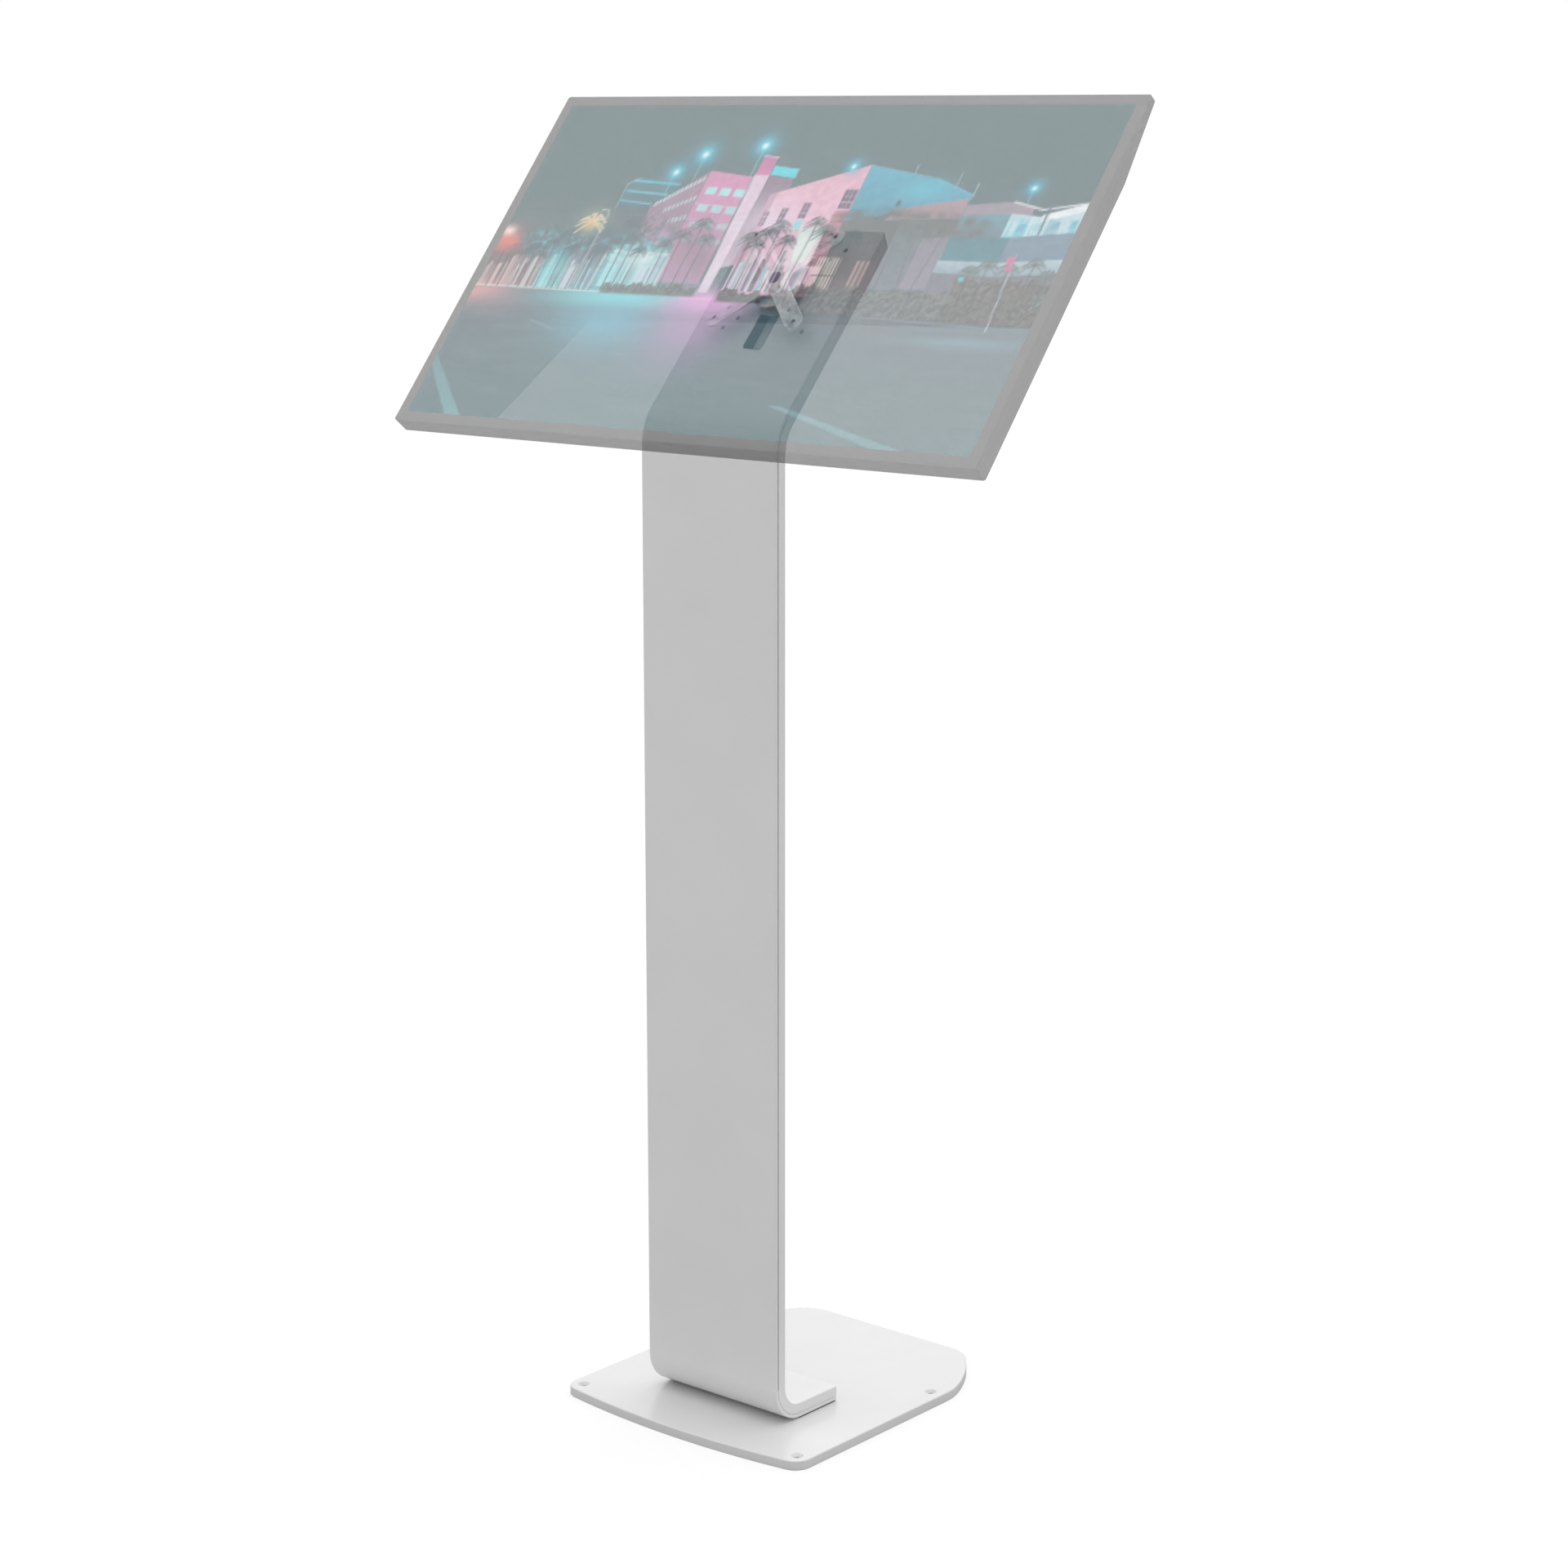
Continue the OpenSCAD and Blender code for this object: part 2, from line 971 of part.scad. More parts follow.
// ---- display, inside ----

module lcd_panel() {
  color("steelblue")
    on_panel()
      plate(711, 393, 1, 40.9, 42.1);
}

module diffuser_films() {
  color("white")
    on_panel()
      plate(710, 392, 1, 40.4, 40.8);
}

module light_guide() {
  color("azure")
    on_panel()
      block([-353, -192, 38.4], [353, 195, 40.3]);
}

module led_bar() {
  color("lightyellow")
    on_panel() {
      block([-350, -195.5, 38.4], [350, -194, 40.3]);
      for (x = [-340:20:340])
        block([x - 2.5, -194.01, 38.7], [x + 2.5, -192.4, 40]);
    }
}

module chassis_tray() {
  color("lightgray")
    difference() {
      on_panel()
        plate(tray[0], tray[1], 1, tray_rear, 42);
      on_panel()
        plate(tray[0] - 1.2, tray[1] - 1.2, 0.5, tray_rear + 0.6, 43);
      on_display()
        four_corners(vesa_pitch / 2, vesa_pitch / 2)
          disc(1.6, 30, 40);
    }
}

module vesa_standoffs() {
  color("goldenrod")
    on_display()
      four_corners(vesa_pitch / 2, vesa_pitch / 2)
        ring(4.5, 2, plate_front + cover_wall, tray_rear);
}

// a board on four posts, its parts facing the back of the display
module board(x0, y0, x1, y1, z) {
  block([x0, y0, z], [x1, y1, z + 1.6]);
  for (x = [x0 + 5, x1 - 5])
    for (y = [y0 + 5, y1 - 5])
      translate([x, y, 0])
        disc(2.2, z + 1.6 - eps, tray_rear);
}

module control_board() {
  color("darkgreen")
    on_display() {
      board(62, -94, 162, 30, board_w);
      block([90, -30, 29], [116, -4, board_w + eps]);
      block([124, -22, 30.4], [138, -10, board_w + eps]);
      block([72, -56, 30], [84, -38, board_w + eps]);
      block([66, 8, 28.4], [96, 14, board_w + eps]);
      for (x = [112, 124, 136, 148])
        translate([x, 14, 0])
          disc(3.4, 24, board_w + eps);
    }
}

module power_board() {
  color("olivedrab")
    on_display() {
      board(-162, -94, -62, 30, board_w);
      block([-120, -30, 20], [-92, -2, board_w + eps]);
      block([-86, -52, 22], [-72, -14, board_w + eps]);
      for (y = [-44, -24, -4])
        translate([-142, y, 0])
          disc(7, 20, board_w + eps);
    }
}

module io_sockets() {
  color("silver")
    on_display()
      for (s = sockets)
        translate([s[0], housing_v[0] + 0.4, socket_w])
          difference() {
            union() {
              block([-s[1] / 2, 0, -s[2] / 2], [s[1] / 2, 11.4, s[2] / 2]);
              block([-s[1] / 2 + 1, 3, 0], [s[1] / 2 - 1, 11.4, board_w - socket_w]);
            }
            block([-s[1] / 2 + 1, -1, -s[2] / 2 + 1], [s[1] / 2 - 1, 8, s[2] / 2 - 1]);
          }
}

module touch_controller() {
  color("seagreen")
    on_display() {
      board(-45, -176, 25, -146, 33);
      block([-20, -168, 31.4], [-8, -156, 33.01]);
    }
}

module panel_ribbon() {
  color("khaki")
    on_display() {
      block([-30, -6, 37.2], [61, 10, 37.6]);
      block([60.6, -6, 33.4], [61, 10, 37.6]);
      block([60.6, -6, 33.42], [70, 10, 33.8]);
    }
}

module touch_ribbon() {
  color("goldenrod")
    on_display() {
      block([-30, -210.4, 37], [-16, -165, 37.4]);
      block([-30, -210.4, 37], [-16, -210, 42.18]);
    }
}

module speakers() {
  color("dimgray")
    on_display()
      both_sides(262)
        difference() {
          translate([0, -150, 0])
            plate(70, 30, 4, 29, 36.4);
          for (dx = [-16, 16])
            translate([dx, -150, 0])
              disc(11, 28, 30);
        }
}

module key_board() {
  color("darkgreen")
    on_display() {
      block([276, key_v - 9, 33.2], [328, key_v + 9, 34.8]);
      translate([power_x, key_v, 0])
        disc(2.4, key_inner + 3.2, 33.21);
      for (dx = [-8.6, 8.6])
        translate([rocker_x + dx, key_v, 0])
          disc(1.8, key_inner + 3.1, 33.21);
      for (x = [280, 324])
        translate([x, key_v + 6, 0])
          disc(1.8, 34.79, tray_rear);
    }
}

// ---- keys ----

module power_button() {
  color("gray")
    on_display()
      translate([power_x, key_v, 0]) {
        disc(5 - gap, rim_rear - 1.4, key_inner + 0.1);
        disc(6, key_inner + 0.1, key_inner + 1.6);
      }
}

module volume_rocker() {
  color("gray")
    on_display()
      translate([rocker_x, key_v, 0])
        difference() {
          union() {
            block([-10.9, -4.4, rim_rear - 1.2], [10.9, 4.4, key_inner - 0.2]);
            block([-2, -4.4, key_inner - 0.3], [2, 4.4, key_inner + 2.2]);
            translate([0, -4.4, key_inner + 2.2])
              rotate([-90, 0, 0])
                cylinder(r = 2, h = 8.8);
          }
          translate([0, 0, key_inner + 2.2])
            rotate([90, 0, 0])
              cylinder(r = 1 + gap, h = 20, center = true);
        }
}

module rocker_pin() {
  color("silver")
    on_display()
      translate([rocker_x, key_v, key_inner + 2.2])
        rotate([90, 0, 0])
          cylinder(r = 0.99, h = 14.4, center = true);
}

base_plate();
foot_gasket();
foot_block();
foot_screws();
cable_grommet();
front_skin();
rear_shell();
seam_gasket();
column_stiffeners();
threaded_bosses();
shell_screws();
head_block();
slot_liner();
mains_cable();
data_cable();
cable_clips();
pivot_flange();
flange_screws();
tilt_block();
tilt_screws();
friction_washer();
hub_washer();
hub_bolt();
turn_disc();
spacer_ring();
vesa_plate();
plate_screws();
vesa_screws();
rear_cover();
vesa_standoffs();
front_bezel();
touch_glass();
lcd_panel();
diffuser_films();
light_guide();
led_bar();
chassis_tray();
control_board();
power_board();
touch_controller();
panel_ribbon();
touch_ribbon();
io_sockets();
speakers();
cover_screws();
status_lens();
key_board();
power_button();
volume_rocker();
rocker_pin();
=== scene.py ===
import json
import math

import bmesh
import bpy
import numpy as np
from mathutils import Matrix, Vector

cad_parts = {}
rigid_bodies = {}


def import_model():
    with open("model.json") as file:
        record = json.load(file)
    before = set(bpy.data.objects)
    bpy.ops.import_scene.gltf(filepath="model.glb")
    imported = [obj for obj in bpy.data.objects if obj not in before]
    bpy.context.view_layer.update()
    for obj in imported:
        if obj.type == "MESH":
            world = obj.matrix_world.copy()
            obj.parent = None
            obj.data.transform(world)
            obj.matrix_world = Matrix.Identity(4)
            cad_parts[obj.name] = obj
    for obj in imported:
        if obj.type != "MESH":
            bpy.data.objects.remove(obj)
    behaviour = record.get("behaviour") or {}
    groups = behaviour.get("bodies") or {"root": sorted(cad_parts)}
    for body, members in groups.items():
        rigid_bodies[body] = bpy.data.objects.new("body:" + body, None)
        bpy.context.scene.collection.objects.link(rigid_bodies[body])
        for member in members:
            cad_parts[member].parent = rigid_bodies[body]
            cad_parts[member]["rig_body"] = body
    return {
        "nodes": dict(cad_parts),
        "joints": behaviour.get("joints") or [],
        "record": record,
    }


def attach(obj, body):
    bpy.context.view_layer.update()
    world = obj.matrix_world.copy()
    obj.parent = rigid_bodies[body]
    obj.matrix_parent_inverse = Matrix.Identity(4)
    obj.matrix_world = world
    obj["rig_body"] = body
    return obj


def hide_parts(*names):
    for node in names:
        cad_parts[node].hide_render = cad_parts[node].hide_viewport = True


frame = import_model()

scene = bpy.context.scene
nodes = frame["nodes"]
joints = {joint["name"]: joint for joint in frame["joints"]}
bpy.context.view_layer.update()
MM = 0.001
SEED = 7

# ---- the display's own frame: X to the right, UP along it and OUT of its face ----

AXIS = Vector(joints["display_turn"]["pos_m"])
OUT = Vector(joints["display_turn"]["axis"])
RIGHT = Vector((1, 0, 0))
UP = OUT.cross(RIGHT)


def at(x, v, w):
    """The point x to the right, v up the display and w out of it, from the turning axis."""
    return AXIS + RIGHT * x + UP * v + OUT * w


def span(node):
    """Lowest and highest corner of a CAD node in the display's frame."""
    places = [v.co - AXIS for v in nodes[node].data.vertices]
    table = np.array([(p.dot(RIGHT), p.dot(UP), p.dot(OUT)) for p in places])
    return table.min(0), table.max(0)


# ---- colours ----


def rgb(red, green, blue):
    """A colour given as it looks on a display, 0 to 255, as linear light."""
    values = [c / 255 for c in (red, green, blue)]
    return tuple(c / 12.92 if c <= 0.04045 else ((c + 0.055) / 1.055) ** 2.4 for c in values)


def tone(value):
    return rgb(value, value, value)


# ---- node trees ----


class Tree:
    """Short calls that build one material."""

    def __init__(self, name):
        self.material = bpy.data.materials.new(name)
        self.material.use_nodes = True
        self.nodes = self.material.node_tree.nodes
        self.links = self.material.node_tree.links
        self.nodes.clear()
        self.output = self.nodes.new("ShaderNodeOutputMaterial")
        self.place = self.nodes.new("ShaderNodeTexCoord").outputs["Object"]

    def feed(self, socket, value):
        """Link an output to the socket, or set the socket to a plain value."""
        if isinstance(value, bpy.types.NodeSocket):
            self.links.new(value, socket)
        elif socket.type == "RGBA" and len(value) == 3:
            socket.default_value = (*value, 1)
        else:
            socket.default_value = value

    def node(self, kind, settings=None, **inputs):
        """A node with its settings, and its inputs by name with _ for a space."""
        made = self.nodes.new(kind)
        for name, value in (settings or {}).items():
            setattr(made, name, value)
        for name, value in inputs.items():
            self.feed(made.inputs[name.replace("_", " ")], value)
        return made

    def maths(self, operation, a, b=0.0):
        made = self.nodes.new("ShaderNodeMath")
        made.operation = operation
        self.feed(made.inputs[0], a)
        self.feed(made.inputs[1], b)
        return made.outputs[0]

    def noise(self, scale, detail=3.0, stretch=(1, 1, 1), rough=0.5):
        """Noise from 0 to 1; scale is in features per metre."""
        mapping = self.node("ShaderNodeMapping", Vector=self.place, Scale=stretch)
        made = self.node("ShaderNodeTexNoise", Scale=scale, Detail=detail, Roughness=rough)
        self.links.new(mapping.outputs[0], made.inputs["Vector"])
        return made.outputs["Fac"]

    def ramp(self, value, low, high, start=0.0, end=1.0):
        """value from low to high becomes start to end, held at both ends."""
        made = self.nodes.new("ShaderNodeMapRange")
        made.clamp = True
        for socket, v in zip(made.inputs, (value, low, high, start, end)):
            self.feed(socket, v)
        return made.outputs[0]

    def mix(self, share, a, b):
        made = self.nodes.new("ShaderNodeMix")
        made.data_type = "RGBA"
        self.feed(made.inputs["Factor"], share)
        self.feed(made.inputs[6], a)
        self.feed(made.inputs[7], b)
        return made.outputs[2]

    def edges(self, radius):
        """Normals rounded over the edges, and a mask that is 1 on them."""
        soft = self.node("ShaderNodeBevel", {"samples": 4}, Radius=radius).outputs[0]
        true = self.nodes.new("ShaderNodeNewGeometry").outputs["Normal"]
        dot = self.nodes.new("ShaderNodeVectorMath")
        dot.operation = "DOT_PRODUCT"
        self.feed(dot.inputs[0], soft)
        self.feed(dot.inputs[1], true)
        return soft, self.ramp(dot.outputs["Value"], 0.995, 0.8)

    def bumps(self, height, strength, depth, normal=None):
        made = self.node("ShaderNodeBump", Height=height, Strength=strength, Distance=depth)
        if normal is not None:
            self.feed(made.inputs["Normal"], normal)
        return made.outputs[0]

    def surface(self, **inputs):
        return self.node("ShaderNodeBsdfPrincipled", **inputs).outputs[0]

    def finish(self, shader, ghost, colour):
        """Link the shader to the output, behind a veil where ghost is set."""
        if ghost:
            shader = ghosted(self, shader, self.veil(colour))
        self.links.new(shader, self.output.inputs["Surface"])
        return self.material

    def veil(self, colour):
        """The even look a see-through part has from in front."""
        shade = self.mix(self.noise(12, 2), tuple(c * 0.96 for c in colour), colour)
        return self.node("ShaderNodeBsdfDiffuse", Color=shade).outputs[0]


# how much of what is seen on the see-through display is the display itself
GHOST_SHARE = 0.73


def ghosted(t, shader, veil):
    """From in front, the first surface a sight line meets is a thin veil and those behind
    it aren't seen. From behind the shader is as it was. Light on its way out of the front
    passes, so that the display doesn't shade the stand and the bracket behind it."""
    turned = t.node("ShaderNodeVectorTransform",
                    {"vector_type": "VECTOR", "convert_from": "WORLD", "convert_to": "OBJECT"})
    t.links.new(t.nodes.new("ShaderNodeNewGeometry").outputs["Incoming"], turned.inputs[0])
    facing = t.nodes.new("ShaderNodeVectorMath")
    facing.operation = "DOT_PRODUCT"
    t.feed(facing.inputs[0], turned.outputs[0])
    t.feed(facing.inputs[1], tuple(OUT))
    path = t.nodes.new("ShaderNodeLightPath")
    camera = path.outputs["Is Camera Ray"]
    front = t.maths("GREATER_THAN", facing.outputs["Value"], 0.0)
    first = t.maths("LESS_THAN", path.outputs["Transparent Depth"], 0.5)
    share = t.maths("MULTIPLY", t.maths("MULTIPLY", first, GHOST_SHARE), camera)
    seen = t.node("ShaderNodeMixShader", Fac=share)
    t.links.new(t.nodes.new("ShaderNodeBsdfTransparent").outputs[0], seen.inputs[1])
    t.links.new(veil, seen.inputs[2])
    # a sight line from in front, or light that leaves towards the front
    agree = t.maths("COMPARE", front, camera)
    mixed = t.node("ShaderNodeMixShader", Fac=agree)
    t.links.new(shader, mixed.inputs[1])
    t.links.new(seen.outputs[0], mixed.inputs[2])
    return mixed.outputs[0]


# ---- finishes ----


def powder_coat(name, colour, ghost, rough=0.42, peel=0.12):
    """Textured powder coat: a fine orange peel, a little cloudiness, edges worn smooth."""
    t = Tree(name)
    soft, edge = t.edges(0.9 * MM)
    skin = t.maths("ADD", t.noise(520, 2), t.maths("MULTIPLY", t.noise(1700, 1), 0.5))
    cloud = t.noise(9, 3)
    worn = t.maths("MULTIPLY", edge, t.ramp(t.noise(60, 4), 0.45, 0.7))
    shade = t.mix(t.ramp(cloud, 0.3, 0.7), tuple(c * 0.965 for c in colour), colour)
    shade = t.mix(t.maths("MULTIPLY", worn, 0.5), shade, tuple(min(1, c * 1.12) for c in colour))
    flake = t.ramp(t.noise(2600, 0), 0.66, 0.74, 0.0, 0.06)
    shade = t.mix(flake, shade, (0.95, 0.95, 0.95))
    gloss = t.ramp(t.noise(35, 3), 0.25, 0.75, rough - 0.05, rough + 0.06)
    gloss = t.maths("SUBTRACT", gloss, t.maths("MULTIPLY", worn, 0.1))
    shader = t.surface(Base_Color=shade, Roughness=gloss, Normal=t.bumps(skin, peel, 0.00025, soft))
    return t.finish(shader, ghost, colour)


def metal(name, colour, ghost, rough=0.3, lines=(1, 1, 1), scratch=0.25):
    """Bare or plated metal: fine drawn lines, stains and bright edges."""
    t = Tree(name)
    soft, edge = t.edges(0.5 * MM)
    drawn = t.noise(900, 3, lines)
    stain = t.ramp(t.noise(28, 5), 0.35, 0.75)
    shade = t.mix(t.maths("MULTIPLY", stain, 0.35), colour, tuple(c * 0.72 for c in colour))
    shade = t.mix(t.maths("MULTIPLY", edge, 0.5), shade, tuple(min(1, c * 1.35) for c in colour))
    gloss = t.maths("ADD", t.ramp(drawn, 0.3, 0.7, rough - 0.07, rough + 0.1),
                    t.maths("MULTIPLY", stain, 0.08))
    shader = t.surface(Base_Color=shade, Metallic=0.9, Roughness=gloss,
                       Normal=t.bumps(drawn, scratch, 0.0001, soft))
    return t.finish(shader, ghost, colour)


def plastic(name, colour, ghost, rough=0.45, grain=1400):
    """Moulded plastic with a spark-eroded grain."""
    t = Tree(name)
    soft, edge = t.edges(0.5 * MM)
    texture = t.noise(grain, 2, rough=0.6)
    cloud = t.noise(14, 3)
    shade = t.mix(t.ramp(cloud, 0.3, 0.7), tuple(c * 0.93 for c in colour), colour)
    shade = t.mix(t.maths("MULTIPLY", edge, t.ramp(t.noise(70, 4), 0.4, 0.7, 0, 0.5)), shade,
                  tuple(min(1, c * 1.3 + 0.01) for c in colour))
    gloss = t.ramp(t.noise(60, 4), 0.3, 0.7, rough - 0.06, rough + 0.08)
    shader = t.surface(Base_Color=shade, Roughness=gloss, Normal=t.bumps(texture, 0.08, 0.0001, soft))
    return t.finish(shader, ghost, colour)


def rubber(name, colour, ghost):
    """Dull rubber with a dusty bloom."""
    t = Tree(name)
    bloom = t.ramp(t.noise(120, 5), 0.45, 0.8, 0.0, 0.25)
    shade = t.mix(bloom, colour, tone(70))
    shader = t.surface(Base_Color=shade, Roughness=t.ramp(t.noise(300, 2), 0.3, 0.7, 0.7, 0.9),
                       Normal=t.bumps(t.noise(1500, 2), 0.3, 0.0002))
    return t.finish(shader, ghost, colour)


def circuit(name, colour, ghost):
    """A circuit board: lacquer over a net of tracks."""
    t = Tree(name)
    cells = t.node("ShaderNodeTexVoronoi", {"distance": "CHEBYCHEV", "feature": "F1"},
                   Scale=260.0, Vector=t.place)
    track = t.ramp(cells.outputs["Distance"], 0.30, 0.36)
    shade = t.mix(track, colour, tuple(min(1, c * 1.9) for c in colour))
    shader = t.surface(Base_Color=shade, Roughness=t.ramp(t.noise(40, 3), 0.3, 0.7, 0.25, 0.4),
                       Normal=t.bumps(track, 0.2, 0.0001))
    return t.finish(shader, ghost, colour)


CASE = tone(109)
RECIPES = {
    "powder_white": (powder_coat, tone(228), {"rough": 0.34}),
    "powder_grey": (metal, tone(250), {"rough": 0.36, "scratch": 0.1}),
    "casing_grey": (plastic, CASE, {}),
    "bezel_grey": (plastic, CASE, {"rough": 0.38}),
    "bare_steel": (metal, tone(150), {"rough": 0.42, "lines": (1, 0.1, 1)}),
    "plated_steel": (metal, tone(206), {"rough": 0.33, "lines": (0.12, 1, 1)}),
    "zinc_screw": (metal, tone(190), {"rough": 0.28, "lines": (1, 1, 0.2)}),
    "black_screw": (metal, tone(45), {"rough": 0.4}),
    "black_rubber": (rubber, tone(22), {}),
    "dark_plastic": (plastic, tone(30), {"rough": 0.4}),
    "ivory_plastic": (plastic, rgb(196, 190, 170), {"rough": 0.4}),
    "grey_cable": (plastic, tone(110), {"rough": 0.5, "grain": 500}),
    "brass_part": (metal, rgb(200, 165, 90), {"rough": 0.3}),
    "screen_glass": (plastic, CASE, {"rough": 0.22, "grain": 200}),
    "panel_dark": (plastic, tone(34), {"rough": 0.3}),
    "film_white": (plastic, tone(225), {"rough": 0.6}),
    "guide_clear": (plastic, rgb(205, 220, 224), {"rough": 0.2}),
    "led_board": (circuit, tone(214), {}),
    "circuit_green": (circuit, rgb(22, 84, 48), {}),
    "ribbon": (plastic, rgb(196, 150, 66), {"rough": 0.35}),
    "socket_metal": (metal, tone(185), {"rough": 0.3}),
    "lens_dark": (plastic, tone(90), {"rough": 0.15}),
    "key_grey": (plastic, tone(70), {"rough": 0.4}),
}
made_finishes = {}

# The base plate has the column's paint, smoother and a little darker.
BASE_COLOUR = tone(221)
BASE_FINISH = {"rough": 0.2, "peel": 0.05}


def finish_of(slot, ghost):
    """The material for a record slot, made once for solid and once for see-through parts."""
    if (slot, ghost) not in made_finishes:
        recipe, colour, settings = RECIPES[slot]
        name = slot + ("_veil" if ghost else "")
        made_finishes[slot, ghost] = recipe(name, colour, ghost=ghost, **settings)
    return made_finishes[slot, ghost]


# The bracket belongs to the display's body but stays solid, as it is what the veil shows.
BRACKET = ("turn_disc", "spacer_ring", "vesa_plate", "plate_screws")
VEILED_BODIES = ("display", "power_key", "volume_key")


def is_veiled(node):
    return nodes[node]["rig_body"] in VEILED_BODIES and node not in BRACKET


slots = {part["node"]: part["material_slot"] for part in frame["record"]["subparts"]}
for name, thing in nodes.items():
    thing.data.materials.clear()
    thing.data.materials.append(finish_of(slots[name], is_veiled(name)))
base_paint = powder_coat("powder_base", BASE_COLOUR, False, **BASE_FINISH)
nodes["base_plate"].data.materials[0] = base_paint

# ---- pieces with rounded edges ----

SAME_PLACE = 2e-6
SAME_PLANE, SHARP, CREASE = (math.radians(angle) for angle in (0.3, 35, 32))
ROUNDING_STEPS = 3
SMALL_FACES = 3 * MM * MM
LARGE_FACES = 8 * MM * MM


def rounded(node, radius, smallest=LARGE_FACES):
    """A copy of a CAD node with the sharp edges rounded between faces over an area."""
    mesh = nodes[node].data.copy()
    bm = bmesh.new()
    bm.from_mesh(mesh)
    bmesh.ops.remove_doubles(bm, verts=bm.verts, dist=SAME_PLACE)
    bmesh.ops.dissolve_limit(bm, angle_limit=SAME_PLANE, verts=bm.verts, edges=bm.edges)
    sharp = [edge for edge in bm.edges if len(edge.link_faces) == 2
             and edge.calc_face_angle(0) > SHARP
             and min(face.calc_area() for face in edge.link_faces) > smallest]
    bmesh.ops.bevel(bm, geom=sharp, offset=radius, offset_type="OFFSET",
                    segments=ROUNDING_STEPS, profile=0.5, affect="EDGES", clamp_overlap=False)
    for face in bm.faces:
        face.smooth = True
    for edge in bm.edges:
        edge.smooth = edge.calc_face_angle(0) < CREASE
    bm.to_mesh(mesh)
    bm.free()
    piece = bpy.data.objects.new(node + "_finished", mesh)
    scene.collection.objects.link(piece)
    weighted = piece.modifiers.new("flat faces stay flat", "WEIGHTED_NORMAL")
    weighted.keep_sharp = True
    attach(piece, nodes[node]["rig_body"])
    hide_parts(node)


rounded("base_plate", 1.2 * MM)
rounded("front_skin", 1.1 * MM)
rounded("rear_shell", 0.9 * MM)
rounded("vesa_plate", 0.5 * MM, smallest=SMALL_FACES)
rounded("front_bezel", 0.6 * MM, smallest=SMALL_FACES)
rounded("rear_cover", 0.6 * MM, smallest=SMALL_FACES)

# ---- the lit picture: a street at night, painted on the corners of a fine net ----

PICTURE_EDGE = 2 * MM
FILM, FILM_FOOT = 0.05 * MM, 0.005 * MM
NET = 1.75 * MM
# how far a painted edge fades out, in cells of the net
FADE = 0.8
# the picture's contrast and black level, set for the share of light the veil lets through
PICTURE_GAIN, PICTURE_BLACK = 1.048, 0.048


